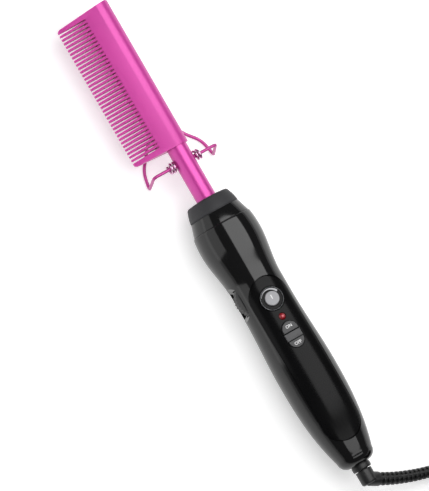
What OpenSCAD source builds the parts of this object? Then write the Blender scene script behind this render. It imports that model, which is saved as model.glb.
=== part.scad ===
// Electric hot comb (pressing comb) with a folding wire stand and a mains lead.
// +X points to the comb's tip, +Y to its teeth and +Z to the side with the controls.
// The origin is the middle of the flat under the handle's bulge, on which the comb rests.

/* [Comb head] */
// Number of thin teeth between the two end guards
teeth = 36; // [30:1:40]
// Distance from one tooth to the next
tooth_pitch = 2.335; // [2.1:0.005:2.6]
// Width of a slot at its root
slot_w = 1.1; // [0.9:0.05:1.3]
// How much wider a slot is at the tips of the teeth
slot_flare = 0.2; // [0:0.05:0.4]
// Length of the teeth
tooth_len = 17.1; // [14:0.1:18]
// Thickness of the end guard next to the neck
guard_low = 3.9; // [3:0.1:5]
// Thickness of the end guard at the tip
guard_top = 2.5; // [2:0.1:4]
// Radius of the round spine
spine_r = 7.4; // [7.3:0.1:8.5]
// Distance from the axis to the tips of the teeth
reach = 27.4; // [26:0.1:29]
// Radius across the tips of the teeth
tip_r = 1.5; // [1:0.1:2]
// Rounding of the comb's outer corners, seen from the front
corner_r = 2; // [1:0.1:2.4]
// Rise of the dome at the spine's end
dome_h = 1.8; // [1:0.1:3]

/* [Neck] */
// Outer diameter of the neck tube
neck_d = 12.2; // [11.6:0.1:12.4]
// Wall of the neck tube
neck_wall = 0.9; // [0.7:0.1:1.2]
// Distance from the top of the nose cap to the stand's pivot
pivot_out = 24.5; // [20:0.5:28]
// Distance from the stand's pivot to the comb head
comb_out = 9.4; // [8:0.1:12]
// Depth of the neck tube inside the comb head
neck_seat = 16; // [12:0.5:20]
// Length of the neck tube inside the handle
neck_tail = 32; // [28:0.5:36]
// Diameter of the heater rod
heater_d = 6.4; // [5.6:0.1:6.8]
// Length of the heater rod
heater_len = 62; // [50:1:66]
// Wall of the ceramic sleeve round the heater
sleeve_wall = 1; // [0.8:0.1:1.2]

/* [Stand] */
// Diameter of the stand's wire
wire_d = 1.9; // [1.6:0.1:2.1]
// Distance from the axis to each side's bend
leg_y = 20.7; // [19:0.1:23]
// How far the feet stand out past those bends
foot_out = 0.9; // [0:0.1:2]
// How far the feet lie behind the pivot
foot_back = 3; // [1:0.1:5]
// Distance from the pivot to the front of the loop
loop_reach = 23; // [21:0.1:24]
// Outer diameter of the springs on the pivot
spring_d = 6.5; // [6:0.1:7]
// Diameter of the springs' wire
spring_wire = 1.1; // [0.9:0.1:1.2]
// Turns of each spring
spring_turns = 2.5; // [2:0.5:2.5]
// Distance from one turn to the next
spring_pitch = 1.6; // [1.55:0.05:1.7]

/* [Handle] */
// Height of the handle's axis above the surface it rests on
axis_h = 18.5; // [18:0.1:18.9]
// Radius at the bulge
bulge_r = 19.15; // [19:0.05:19.6]
// Radius at the waist
waist_r = 16; // [15.6:0.1:16.6]
// Radius at the grip
grip_r = 17.6; // [17:0.1:17.9]
// Distance from the bulge to the crease in front of it
crease_x = 11.4; // [10.5:0.1:12]
// Distance from the bulge to the start of the waist
waist_x = 29; // [27:0.5:31]
// Length of the waist
waist_len = 12.6; // [10:0.1:15]
// Distance from the bulge to the widest part of the grip
grip_x = 86.6; // [80:0.1:92]
// Distance from the bulge to the handle's end
tail_x = 146.6; // [142:0.1:150]
// Rounding of the handle's end
tail_round = 6; // [5:0.1:6.5]
// How much the grip has narrowed where that rounding starts
tail_drop = 6.2; // [5.6:0.1:6.8]
// Wall of the shells
wall = 2.2; // [2:0.1:2.4]
// Radius of the collar ring at the crease
collar_r = 17.85; // [17.4:0.05:18]
// Radius of the collar ring at the nose cap
collar_top_r = 15.4; // [15:0.1:15.8]
// Length of the collar ring
collar_len = 7.6; // [7:0.1:8.5]
// Radius of the nose cap at its rounded top edge
nose_r = 13.4; // [13:0.1:14]
// Height of the nose cap
nose_h = 8.9; // [8:0.1:10]
// Diameter of the shell screws
screw_d = 2.6; // [2.2:0.1:3]

/* [Control panel] */
// Width of the panel
panel_w = 24; // [23:0.1:24.4]
// Distance from the bulge to the panel's upper end
panel_top_x = 27; // [26:0.5:28.5]
// Distance from the bulge to the panel's lower end
panel_end_x = 131.7; // [128:0.1:132]
// How far the middle of the panel lies below the round of the shell
panel_flat = 1; // [0.8:0.05:1.2]
// Thickness of the panel
panel_t = 1.6; // [1.4:0.1:1.8]
// Width of the ledge that carries the panel
ledge_w = 1.8; // [1.4:0.1:3]

/* [Dial, light and buttons] */
// Distance from the bulge to the dial
dial_x = 40.8; // [39.5:0.1:41]
// Diameter of the dial
dial_d = 8.5; // [8:0.1:9]
// Outer diameter of the ring round the dial
bezel_d = 14.6; // [14:0.1:15]
// Distance from the bulge to the red light
led_x = 51.6; // [51.3:0.1:52]
// Diameter of the red light
led_d = 4.1; // [3.6:0.1:4.3]
// Distance from the bulge to the upper end of the ON button
keys_x = 55.3; // [55:0.1:56]
// Width of the buttons
key_w = 9.5; // [8.6:0.1:10]
// Length of the ON button
on_len = 5.9; // [5.5:0.1:6.2]
// Length of the OFF button
off_len = 5.4; // [5:0.1:5.8]
// Length of the bar between the buttons
bar_len = 4.6; // [4.2:0.1:5]
// How far the buttons stand out of the panel
key_out = 0.6; // [0.4:0.05:0.8]
// Travel of a button
key_travel = 0.6; // [0.4:0.05:0.6]

/* [Thumb wheel] */
// Distance from the bulge to the wheel's post
wheel_x = 34.5; // [34:0.1:35]
// Distance from the axis to the wheel's post
wheel_y = 5.7; // [5.2:0.1:6]
// Radius of the wheel
wheel_r = 11.5; // [11.2:0.1:11.9]
// Thickness of the wheel
wheel_t = 6; // [5:0.1:6.2]
// Height of the wheel's lower face above the axis
wheel_z = 1; // [0.8:0.1:1.2]
// Number of ribs on its rim
wheel_ribs = 36; // [24:1:40]
// Radius of the thumb scoop in the shells
scoop_r = 15.8; // [15:0.1:17]
// Depth of the thumb scoop
scoop_deep = 4; // [3.5:0.1:4.2]

/* [Swivel and mains lead] */
// Radius of the collar at the handle's end
tail_collar_r = 5.7; // [5.4:0.1:6]
// Length of that collar
tail_collar_len = 3.5; // [3:0.1:4]
// Radius of the swivel
swivel_r = 4.9; // [4.6:0.1:5.2]
// Length of the swivel outside the handle
swivel_len = 8.7; // [8:0.1:9.4]
// Diameter of the swivel's shaft
shaft_d = 6.4; // [6:0.1:6.6]
// Length of the strain relief
boot_len = 45; // [40:1:45]
// Radius of the strain relief's ribs at the swivel
boot_r = 3.9; // [3.7:0.1:4.1]
// Distance from one rib to the next
boot_pitch = 2.95; // [2.7:0.05:3.2]
// Diameter of the cord
cord_d = 5.4; // [5.2:0.1:5.5]
// Radius of the coil's outermost turn
coil_r = 36; // [36:0.5:38]
// Distance from one turn of the coil to the next, and from one layer to the next
coil_pitch = 5.95; // [5.9:0.05:6.1]
// Turns in each of the coil's four layers
layer_turns = 2.25; // [2.25:1:3.25]
// Width of the tie round the coil
tie_w = 9; // [6:0.5:12]
// Thickness of the tie
tie_t = 0.7; // [0.5:0.1:0.7]
// Thickness of the plug's body
plug_t = 15; // [14:0.5:16]
// Width of the plug's body
plug_w = 24; // [22:0.5:26]
// Length of the plug's body
plug_len = 28; // [24:0.5:32]

/* [Hidden] */

$fn = 72;
eps = 0.01;
// Gap between pieces that are fixed together
fit = 0.1;
// Gap round a piece that moves
gap = 0.3;
// Room beyond the part for tools that cut right through
far = 60;

// Places along the axis
nose_x = crease_x + collar_len;
nose_top_x = nose_x + nose_h;
pivot_x = nose_top_x + pivot_out;
comb_x = pivot_x + comb_out;
comb_len = guard_low + teeth * tooth_pitch + slot_w + guard_top;
comb_end_x = comb_x + comb_len;
neck_r = neck_d / 2;
neck_bore_r = neck_r - neck_wall;
neck_front_x = comb_x + neck_seat;
neck_back_x = nose_top_x - neck_tail;
heater_r = heater_d / 2;
sleeve_r = heater_r + fit + sleeve_wall;
heater_x = neck_front_x + 1;
sleeve_len = heater_len + 1;
fuse_r = 2.2;
fuse_len = 11;
fuse_back = 16;
sensor_r = 1.6;
sensor_len = 5;
lead_r = 0.8;
lead_y = 2.8;
lead_bend = 6;
dial_hole_r = dial_d / 2 + gap;

// The stand's wire, seen from its pivot
wire_r = wire_d / 2;
floor_n = wire_r - axis_h;
pin_r = wire_r + 0.25;
pin_out = neck_r + 4.3;
loop_r = 15;
loop_mid = loop_reach - loop_r;
foot_y = leg_y + foot_out;
spring_r = (spring_d - spring_wire) / 2;
spring_y = neck_r + gap + spring_wire / 2;

// The handle's round, with distances measured back from the bulge
waist_end = waist_x + waist_len;
tail_start = tail_x - tail_round;
bulge_fall = 0.86;
tail_power = 2.6;
round_steps = 52;
cavity_steps = 19;
cavity_front = crease_x - wall;
cavity_back = tail_x - 8.6;
spigot_r = collar_top_r - 2.4;
scoop_y = waist_r - scoop_deep + scoop_r;
scoop_low = 7;
// Depth of the wheel post's foot below the axis, and the radius of its pin
post_low = 4.5;
wheel_pin_r = 1.5;
nose_hollow = 4.5;
washer_t = 2;
scoop_top = wheel_z + wheel_t + gap;
crown = 2.5;
ledge_r = panel_w / 2 - ledge_w;
screw_r = screw_d / 2;
head_r = screw_r + 1.3;
head_t = 1.8;
screw_seat = 7.2;
screw_up = 6;
boss_r = screw_r + 1.7;
boss_h = 9.4;
// Each screw's distance back from the bulge and out from the axis
screw_places = [[10, 12], [95, 11]];
post_x = 62;
post_y = 7;

// Heights above the handle's axis
board_n = scoop_top + gap;
board_t = 1.6;
board_top = board_n + board_t;
board_w = 20;
board_front = 27;
board_back = 79;
panel_low = function (x) handle_r(-x) - panel_flat - panel_t;
panel_top = function (x) handle_r(-x) - panel_flat;
bezel_r = bezel_d / 2;
dial_n = panel_top(dial_x);
bezel_n = dial_n - 0.4;
// The mark on the dial, and how far it lies from the dial's middle towards the comb
mark_len = 2.6;
mark_w = 0.8;
mark_off = 0.9;
led_r = led_d / 2;
led_n = panel_top(led_x);
bar_x = keys_x + on_len + gap;
off_x = bar_x + bar_len + gap;
keys_end = off_x + off_len;
key_r = key_w / 2;
key_n = panel_top(bar_x) + key_out;
flange_t = 0.8;
flange_side = 0.6;
// The panel's underside curves down beside the buttons, and their flanges stay below it
flange_n = sqrt(pow(handle_r(-keys_x) + crown - panel_t, 2) - pow(key_r + flange_side, 2))
    - crown - panel_flat - flange_t - gap;
switch_t = 1.2;
plunger_n = flange_n - key_travel - 2 * gap - board_top;

// The swivel and the cord
shaft_r = shaft_d / 2;
swivel_x = tail_x + tail_collar_len + gap;
swivel_end = swivel_x + swivel_len;
collar_flange_x = cavity_back - 2;
shaft_end = tail_x - 21.6;
ring_r = 3;
ring_core_r = 2.2;
// Each slip ring's distance back from the bulge
ring_places = [shaft_end + 1.5, shaft_end + 5.4];
ring_len = 2.5;
brush_t = 0.4;
brush_low = 8;
brush_len = 10;
elbow_x = swivel_end - 3.1;
boot_start = 6.5;
boot_end = boot_start + boot_len;
boot_angle = 61;
boot_roll = 15;
boot_bend_r = 136.4;
boot_end_r = 3.3;
// Length without ribs at the relief's root and at its tip, and the depth of its grooves
boot_root = 4;
boot_tip = 2;
groove_deep = 0.9;
cord_r = cord_d / 2;
tie_gap = 0.3;
coil_low = tie_t + tie_gap + cord_r;
layers = 4;
turns = layers * layer_turns;
loop_rings = 24;
coil_mid = [-209, -69];
coil_in_r = coil_r - coil_pitch * layer_turns;
coil_top = coil_low + (layers - 1) * coil_pitch;
// The cord from the strain relief to the coil
run_points = [[-172.6, -51.8, 4.75], [-172.9, -56.2, 4], [-173, -60, 3.72]];
// The cord from the coil to the plug
tail_points = [[-173.4, -80, 22.2], [-175.8, -86.5, 23.8], [-180.5, -92, 26], [-186.5, -96, 28.2],
               [-193.5, -98.2, 30], [-201, -98.2, 31.2], [-208.5, -96, 31.8], [-214.5, -91.4, 32],
               [-218.8, -85, 32]];
plug_start = [-221, -78, 32];
plug_angle = 107;
relief_len = 20;
blade_len = 17.5;
blade_w = 6.35;
blade_t = 1.5;
blade_gap = 12.7;

function unit(v) = v / norm(v);
function smooth(t) = t * t * (3 - 2 * t);
function behind(x) = -x;

// Radius of the handle at a place along the axis
function handle_r(x) =
    x >= 0 ? bulge_r - bulge_fall * pow(x / crease_x, 2)
    : behind(x) < waist_x ? bulge_r - (bulge_r - waist_r) * smooth(behind(x) / waist_x)
    : behind(x) < waist_end ? waist_r
    : behind(x) < grip_x
        ? waist_r + (grip_r - waist_r) * smooth((behind(x) - waist_end) / (grip_x - waist_end))
    : grip_r - tail_drop * pow((behind(x) - grip_x) / (tail_start - grip_x), tail_power);

// Direction of a path at one of its points
function heading(p, i) = unit(p[min(i + 1, len(p) - 1)] - p[max(i - 1, 0)]);

// Two directions across a path at each of its points, carried along without a twist
function crosses(p, side, i = 0) =
    i == len(p) ? []
    : let (t = heading(p, i), w = unit(side - (side * t) * t))
        concat([[w, cross(t, w)]], crosses(p, w, i + 1));

// Place on the strain relief's middle line
function boot_point(s) =
    let (turn = boot_angle + s / boot_bend_r * 180 / PI, out = (cos(boot_angle) - cos(turn)) * boot_bend_r)
        [-elbow_x - (sin(turn) - sin(boot_angle)) * boot_bend_r,
         -out * cos(boot_roll), axis_h - out * sin(boot_roll)];

// How many turns the coil has gone in from its outside, and which layer it lies in
function turns_in(u) = let (v = u % (2 * layer_turns)) v < layer_turns ? v : 2 * layer_turns - v;
function layer_at(u) =
    let (k = round(u / layer_turns), near = u - k * layer_turns)
        k < 1 || k > layers - 1 ? (k < 1 ? 0 : layers - 1)
        : abs(near) > 0.25 ? (near < 0 ? k - 1 : k)
        : k - 1 + smooth((near + 0.25) / 0.5);
function coil_point(u) =
    let (r = coil_r - coil_pitch * turns_in(u))
        [coil_mid.x + r * cos(360 * u), coil_mid.y - r * sin(360 * u),
         coil_low + coil_pitch * layer_at(u)];
coil_first = coil_point(0) + [0, cord_d, 0];
coil_last = coil_point(turns) - [0, cord_d, 0];
coil_points = concat([coil_first], [for (i = [0 : turns * loop_rings]) coil_point(i / loop_rings)],
                     [coil_last]);

function path_len(p) = len(p) < 2 ? 0 : let (d = [for (i = [1 : len(p) - 1]) norm(p[i] - p[i - 1])])
    d * [for (i = d) 1];

run_path = concat([boot_point(boot_end)], run_points, [coil_first]);
tail_path = concat([coil_last], tail_points, [plug_start]);
coil_gap = min([for (i = [0 : len(coil_points) - 1])
                for (j = [i + loop_rings / 2 : 1 : len(coil_points) - 1])
                norm(coil_points[i] - coil_points[j])]) - cord_d;
echo(coil_gap = coil_gap);
echo(cord_length = path_len(run_path) + path_len(coil_points) + path_len(tail_path));

// A tube along a path; its radius is one number, or one for each point
module tube(p, r, sides, side = [0, 0, 1]) {
    frames = crosses(p, side);
    last = len(p) - 1;
    points = [for (i = [0 : last]) for (k = [0 : sides - 1])
              let (a = 360 * k / sides, ring_r = is_list(r) ? r[i] : r)
              p[i] + ring_r * (cos(a) * frames[i][0] + sin(a) * frames[i][1])];
    walls = [for (i = [0 : last - 1]) for (k = [0 : sides - 1])
             let (n = (k + 1) % sides, a = i * sides, b = a + sides)
             each [[a + k, b + k, b + n], [a + k, b + n, a + n]]];
    caps = [for (k = [1 : sides - 2])
            each [[0, k, k + 1], [last * sides, last * sides + k + 1, last * sides + k]]];
    polyhedron(points = points, faces = concat(walls, caps), convexity = 10);
}

// Places its children on the handle's axis, with their own Z along it
module on_axis(x = 0) {
    translate([x, 0, axis_h]) rotate([0, 90, 0]) children();
}

// Turns an outline of [radius, place along the axis] round the axis
module turned(outline) {
    on_axis() rotate_extrude() polygon(outline);
}

// A round bar along the axis between two places
module bar(r, from, to) {
    on_axis(from) cylinder(r = r, h = to - from);
}

// Moves its children from a distance back from the bulge and a height above the axis
module at(back, y = 0, n = 0) {
    translate([-back, y, axis_h + n]) children();
}

// ---- Comb head and neck ----

// The comb's section: a round back with flat sides that taper to the tips
module comb_section() {
    lean = asin((spine_r - tip_r) / (reach - tip_r));
    polygon(concat(
        [for (a = [90 - lean : 7.5 : 270 + lean]) spine_r * [cos(a), sin(a)]],
        [for (a = [lean - 90 : 20 : 90 - lean]) [reach - tip_r, 0] + tip_r * [cos(a), sin(a)]]));
}

// The comb's outline seen from the front, with rounded outer corners
module comb_front() {
    end = comb_len - corner_r;
    polygon(concat([[0, -far], [comb_len, -far]],
        [for (a = [0 : 15 : 90]) [end, reach - corner_r] + corner_r * [cos(a), sin(a)]],
        [for (a = [90 : 15 : 180]) [corner_r, reach - corner_r] + corner_r * [cos(a), sin(a)]]));
}

module comb_head() color("mediumvioletred") {
    root = reach - tooth_len;
    wide = slot_w / 2 + slot_flare / 2;
    dome_r = spine_r - 1;
    difference() {
        union() {
            intersection() {
                translate([comb_x, 0, axis_h]) rotate([90, 0, 90])
                    linear_extrude(comb_len) comb_section();
                translate([comb_x, 0, axis_h - far]) linear_extrude(2 * far) comb_front();
            }
            turned([[0, comb_end_x - 1], [dome_r, comb_end_x - 1], [dome_r, comb_end_x],
                    for (a = [10 : 10 : 90]) [dome_r * cos(a), comb_end_x + dome_h * sin(a)]]);
        }
        for (i = [0 : teeth])
            translate([comb_x + guard_low + slot_w / 2 + i * tooth_pitch, root, axis_h - far])
                linear_extrude(2 * far)
                    polygon([[-slot_w / 2, 0], [slot_w / 2, 0], [wide, tooth_len + 1],
                             [-wide, tooth_len + 1]]);
        bar(neck_r + fit, comb_x - 1, neck_front_x + fit);
        bar(sleeve_r + fit, comb_x, heater_x + sleeve_len + 1);
    }
}

module neck_tube() color("mediumvioletred") difference() {
    bar(neck_r, neck_back_x, neck_front_x);
    bar(neck_bore_r, neck_back_x - 1, neck_front_x + 1);
    translate([pivot_x, -far, axis_h]) rotate([-90, 0, 0]) cylinder(r = pin_r + fit, h = 2 * far);
}

module heater_rod() color("dimgray") bar(heater_r, heater_x, heater_x + heater_len);

module heater_sleeve() color("white") difference() {
    bar(sleeve_r, heater_x, heater_x + sleeve_len);
    bar(heater_r + fit, heater_x - 1, heater_x + sleeve_len + 1);
}

module thermal_fuse() color("silver")
    translate([pivot_x - fuse_back, 0, axis_h - neck_bore_r + gap + fuse_r]) rotate([0, 90, 0])
        cylinder(r = fuse_r, h = fuse_len);

module heat_sensor() color("tan") bar(sensor_r, heater_x - gap - sensor_len, heater_x - gap);

// Two wires from the heater to the circuit board
module heater_leads() color("white") for (side = [-1, 1]) {
    y = side * lead_y;
    tube([[heater_x - gap, y, axis_h], [pivot_x, y, axis_h], [nose_x, y, axis_h],
          [neck_back_x, y, axis_h], [neck_back_x - lead_bend, y, axis_h + lead_bend / 4],
          [neck_back_x - 2 * lead_bend, y, axis_h + 0.6 * board_n],
          [-board_front + lead_bend, y, axis_h + board_n + board_t / 4],
          [-board_front + gap, y, axis_h + board_n + board_t / 2]], lead_r, 8);
}

// ---- Stand ----

// Half of the stand's wire, from its pivot to the front of the loop
function stand_half() = concat(
    [[0, pin_out - 1, 0], [0, 15, 0], [0, leg_y - 1.9, 0], [-0.2, leg_y - 0.5, -0.6],
     [-0.4, leg_y + 0.1, -2.2], [-foot_back + 0.4, foot_y - 0.1, floor_n + 3],
     [-foot_back + 0.2, foot_y, floor_n + 1.1], [-foot_back + 1.1, foot_y - 0.1, floor_n + 0.1],
     [-foot_back + 3, foot_y - 0.4, floor_n], [5.4, leg_y - 0.8, floor_n],
     [7.4, leg_y - 1.7, floor_n], [9.4, leg_y - 3.4, floor_n]],
    [for (a = [62 : -15.5 : 0]) [loop_mid + loop_r * cos(a), loop_r * sin(a), floor_n]]);

module stand_wire() color("mediumvioletred") translate([pivot_x, 0, axis_h]) {
    half = stand_half();
    count = len(half);
    tube(concat(half, [for (i = [count - 2 : -1 : 0]) [half[i].x, -half[i].y, half[i].z]]),
         wire_r, 10, [1, 0, 0]);
    for (side = [-1, 1]) rotate([-90 * side, 0, 0])
        translate([0, 0, neck_bore_r - gap]) cylinder(r = pin_r, h = pin_out - neck_bore_r + gap);
}

module stand_springs() color("silver") for (side = [-1, 1]) translate([pivot_x, 0, axis_h])
    tube([for (i = [0 : spring_turns * 12]) let (a = 30 * i)
          [spring_r * cos(a), side * (spring_y + spring_pitch * i / 12), spring_r * sin(a)]],
         spring_wire / 2, 6, [0, 1, 0]);

// ---- Handle ----

// The handle's round, from the crease to its end, drawn in or out by a number of millimetres
module handle_round(grow = 0) {
    front = crease_x;
    turned(concat(
        [[0, -tail_x], [grip_r - tail_drop - tail_round + grow, -tail_x]],
        [for (a = [75 : -15 : 0]) [grip_r - tail_drop - tail_round * (1 - cos(a)) + grow,
                                   -tail_start - tail_round * sin(a)]],
        [for (i = [1 : round_steps]) let (x = -tail_start + i * (front + tail_start) / round_steps)
            [handle_r(x) + grow, x]],
        [[0, front]]));
}

module handle_cavity() {
    turned(concat(
        [[0, -cavity_back], [handle_r(-tail_start) - wall - 1, -cavity_back]],
        [for (i = [0 : cavity_steps])
            let (x = -tail_start + 2 + i * (cavity_front + tail_start - 2) / cavity_steps)
            [handle_r(x) - wall, x]],
        [[0, cavity_front]]));
}

// The long shape of the panel seen from the front
module panel_front(shrink = 0) {
    r = panel_w / 2 - shrink;
    top = panel_top_x + panel_w / 2;
    end = panel_end_x - panel_w / 2;
    translate([-top, 0]) circle(r = r);
    translate([-end, 0]) circle(r = r);
    translate([-end, -r]) square([end - top, 2 * r]);
}

// The panel's flatter round, lowered by its own depth
module panel_round(depth) {
    translate([0, 0, -crown - panel_flat]) handle_round(crown - depth);
}

module screw_row() {
    for (place = screw_places) for (side = [-1, 1]) at(place[0], side * place[1]) children();
}

// Both shells' common body, with the spigot for the collar ring and the rib that holds the neck
module shells() {
    difference() {
        union() {
            handle_round();
            bar(spigot_r, crease_x - 1, nose_x);
        }
        handle_cavity();
        bar(spigot_r - wall, cavity_front - 1, nose_x - wall);
        bar(neck_r + fit, nose_x - wall - 1, nose_x + 1);
        bar(tail_collar_r - 1.1, -tail_x - 1, -cavity_back + 1);
    }
    difference() {
        intersection() {
            handle_round(-1);
            bar(far, 0, 3);
        }
        bar(neck_r + fit, -1, 4);
    }
}

module scoop() at(wheel_x, scoop_y, -scoop_low) cylinder(r = scoop_r, h = scoop_low + scoop_top);

module front_shell() color("#161616") difference() {
    union() {
        intersection() {
            shells();
            at(0, 0, far) cube([4 * tail_x, 2 * far, 2 * far], center = true);
        }
        intersection() {
            handle_round(-wall / 2);
            screw_row() cylinder(r = boss_r, h = boss_h);
        }
    }
    difference() {
        at(0) linear_extrude(far) panel_front(-fit);
        panel_round(panel_t + fit);
    }
    at(0) linear_extrude(far) panel_front(ledge_w);
    scoop();
    at(wheel_x, wheel_y, -1) cylinder(r = wheel_r + 2 * gap, h = scoop_top + 1);
    screw_row() translate([0, 0, -1]) cylinder(r = screw_r, h = screw_up + 2.4);
}

module back_shell() color("#161616") difference() {
    union() {
        intersection() {
            shells();
            at(0, 0, -far) cube([4 * tail_x, 2 * far, 2 * far], center = true);
        }
        intersection() {
            handle_round(-wall / 2);
            union() {
                at(wheel_x, scoop_y, -scoop_low - wall)
                    cylinder(r = scoop_r + wall, h = scoop_low + wall);
                screw_row() translate([0, 0, -far]) cylinder(r = head_r + 1.2, h = far);
                at(wheel_x, wheel_y, -far) rotate(45) cylinder(r = 4, h = far - post_low);
                for (side = [-1, 1]) {
                    at(post_x, side * post_y, -far) cylinder(r = 2, h = far + board_n);
                    at(ring_places[0] - 1, side * 3.8 - 1.4, -far)
                        translate([-8, 0, 0]) cube([8, 2.8, far - 8]);
                }
            }
        }
    }
    scoop();
    screw_row() translate([0, 0, -far - screw_seat]) cylinder(r = head_r + gap, h = far);
    screw_row() translate([0, 0, -far]) cylinder(r = screw_r + fit, h = far + 1);
    translate([0, 0, -far]) cube([4 * tail_x, 2 * far, 2 * far], center = true);
}

module shell_screws() color("silver") screw_row() {
    translate([0, 0, -screw_seat - head_t]) cylinder(r = head_r, h = head_t);
    translate([0, 0, -screw_seat - eps]) cylinder(r = screw_r, h = screw_seat + screw_up);
}

module collar_ring() color("#161616")
    turned([[spigot_r + fit, crease_x], [collar_r, crease_x], [collar_top_r, nose_x],
            [spigot_r + fit, nose_x]]);

module nose_cap() color("dimgray") {
    shoulder = nose_x + nose_h - 1.7;
    turned([[spigot_r, nose_x], [collar_top_r - 0.5, nose_x], [collar_top_r - 0.5, nose_x + 0.5],
            [collar_top_r - 0.1, nose_x + 0.5], [collar_top_r - 0.7, nose_x + 3.8],
            [nose_r + 0.4, shoulder - 0.6],
            for (a = [0 : 22.5 : 67.5]) [nose_r - 1.2 + 1.2 * cos(a), shoulder - 0.4 + 1.2 * sin(a)],
            [nose_r * 0.75, shoulder + 1.35], [neck_r + fit, nose_top_x],
            [neck_r + fit, nose_x + nose_hollow], [spigot_r, nose_x + nose_hollow]]);
}

module heat_washer() color("tan") difference() {
    bar(spigot_r - 2 * fit, nose_x, nose_x + washer_t);
    bar(neck_r + fit, nose_x - 1, nose_x + washer_t + 1);
}

module control_panel() color("#0d0d0d") difference() {
    intersection() {
        at(0) linear_extrude(far) panel_front();
        panel_round(0);
    }
    panel_round(panel_t);
    at(dial_x) cylinder(r = bezel_r + fit, h = far);
    at(led_x) cylinder(r = led_r + fit, h = far);
    at(0) linear_extrude(far) keys_front(-gap);
}

// ---- Dial, light and buttons ----

// The long opening that both buttons and the bar share, seen from the front
module keys_front(shrink = 0) {
    r = key_r - shrink;
    translate([-keys_x - key_r, 0]) circle(r = r);
    translate([-keys_end + key_r, 0]) circle(r = r);
    translate([-keys_end + key_r, -r]) square([keys_end - keys_x - key_w, 2 * r]);
}

module dial_bezel() color("dimgray") difference() {
    union() {
        at(dial_x, 0, panel_low(dial_x) - 1.6) cylinder(r = bezel_r, h = bezel_n - panel_low(dial_x) + 1);
        at(dial_x, 0, bezel_n - 0.6 - eps) cylinder(r1 = bezel_r, r2 = bezel_r - 0.6, h = 0.6);
    }
    at(dial_x) cylinder(r = dial_hole_r, h = far);
}

module temperature_dial() color("silver") difference() {
    at(dial_x, 0, 0) rotate_extrude()
        polygon([[0, board_top + 2.6], [3, board_top + 2.6], [3, bezel_n - 1], [dial_d / 2, bezel_n - 1],
                 [dial_d / 2, bezel_n + 0.5],
                 for (a = [15 : 15 : 90]) [(dial_d / 2) * cos(a), bezel_n + 0.5 + 0.8 * sin(a)]]);
    at(dial_x) cylinder(r = 1.6, h = dial_n - 0.8);
    at(dial_x - mark_off, 0, bezel_n + 1.8) cube([mark_len, mark_w, 2], center = true);
}

module dial_pointer() color("white")
    at(dial_x - mark_off, 0, bezel_n + 1.1)
        cube([mark_len - 2 * fit, mark_w - 2 * fit, 0.5], center = true);

module dial_potentiometer() color("#202020") at(dial_x, 0, board_top) {
    cylinder(r = 4.4, h = 2.3);
    cylinder(r = 1.5, h = dial_n - 1 - board_top);
}

module power_led() color("red") at(led_x) {
    translate([0, 0, board_top + 1.2]) cylinder(r = led_r, h = led_n - 1 - board_top - 1.2);
    translate([0, 0, led_n - 1]) rotate_extrude() intersection() {
        circle(r = led_r);
        square(led_r);
    }
    translate([0, 0, panel_low(led_x) - 1.1]) cylinder(r = led_r + 0.45, h = 0.8);
    for (side = [-1, 1]) translate([0, side * 1.27, board_top]) cylinder(r = 0.3, h = 1.3);
}

// One button, cut out of the shared opening's shape; its cap stands on a wider flange and a stem
module button(from, len) {
    intersection() {
        union() {
            at(0, 0, flange_n + eps) linear_extrude(key_n - 0.4 - flange_n - eps) keys_front();
            at(0, 0, key_n - 0.5) linear_extrude(0.5) keys_front(0.4);
        }
        at(from + len, -far) cube([len, 2 * far, far]);
    }
    at(from + len - flange_side, -key_r - flange_side, flange_n - gap)
        cube([len - 2 * flange_side, key_w + 2 * flange_side, flange_t + gap]);
}

module on_button() color("#2a2a2a") button(keys_x, on_len);

module off_button() color("#2a2a2a") button(off_x, off_len);

module button_bar() color("#3a3a3a")
    at(bar_x + bar_len, -key_r - gap, flange_n)
        cube([bar_len, key_w + 2 * gap, key_n - 0.2 - flange_n]);

module button_switches() color("#303030")
    for (back = [keys_x + on_len / 2, off_x + off_len / 2]) at(back, 0, board_top) {
        translate([-2.4, -2.4, 0]) cube([4.8, 4.8, switch_t]);
        cylinder(r = 1.1, h = plunger_n);
    }

module circuit_board() color("darkgreen")
    at(board_back, -board_w / 2, board_n) cube([board_back - board_front, board_w, board_t]);

module thumb_wheel() color("#202020") at(wheel_x, wheel_y, wheel_z) difference() {
    cylinder(r = wheel_r, h = wheel_t);
    translate([0, 0, -1]) cylinder(r = wheel_pin_r + fit, h = wheel_t + 2);
    for (i = [1 : wheel_ribs]) rotate(360 * i / wheel_ribs)
        translate([wheel_r + 0.2, 0, -1]) cylinder(r = 0.7, h = wheel_t + 2, $fn = 24);
}

module wheel_post() color("silver") at(wheel_x, wheel_y, -post_low) {
    cylinder(r = 3.8, h = post_low + wheel_z - gap);
    cylinder(r = wheel_pin_r, h = post_low + wheel_z + wheel_t + 0.2);
}

// ---- Swivel and mains lead ----

module tail_collar() color("#1c1c1c") difference() {
    turned([[0, -tail_x - tail_collar_len], [tail_collar_r - 0.8, -tail_x - tail_collar_len],
            [tail_collar_r, -tail_x - tail_collar_len + 0.8], [tail_collar_r, -tail_x],
            [tail_collar_r - 1.2, -tail_x], [tail_collar_r - 1.2, -cavity_back],
            [tail_collar_r + 1.3, -cavity_back], [tail_collar_r + 1.3, -collar_flange_x],
            [0, -collar_flange_x]]);
    bar(shaft_r + fit, -tail_x - far, -tail_x + far);
}

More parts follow.
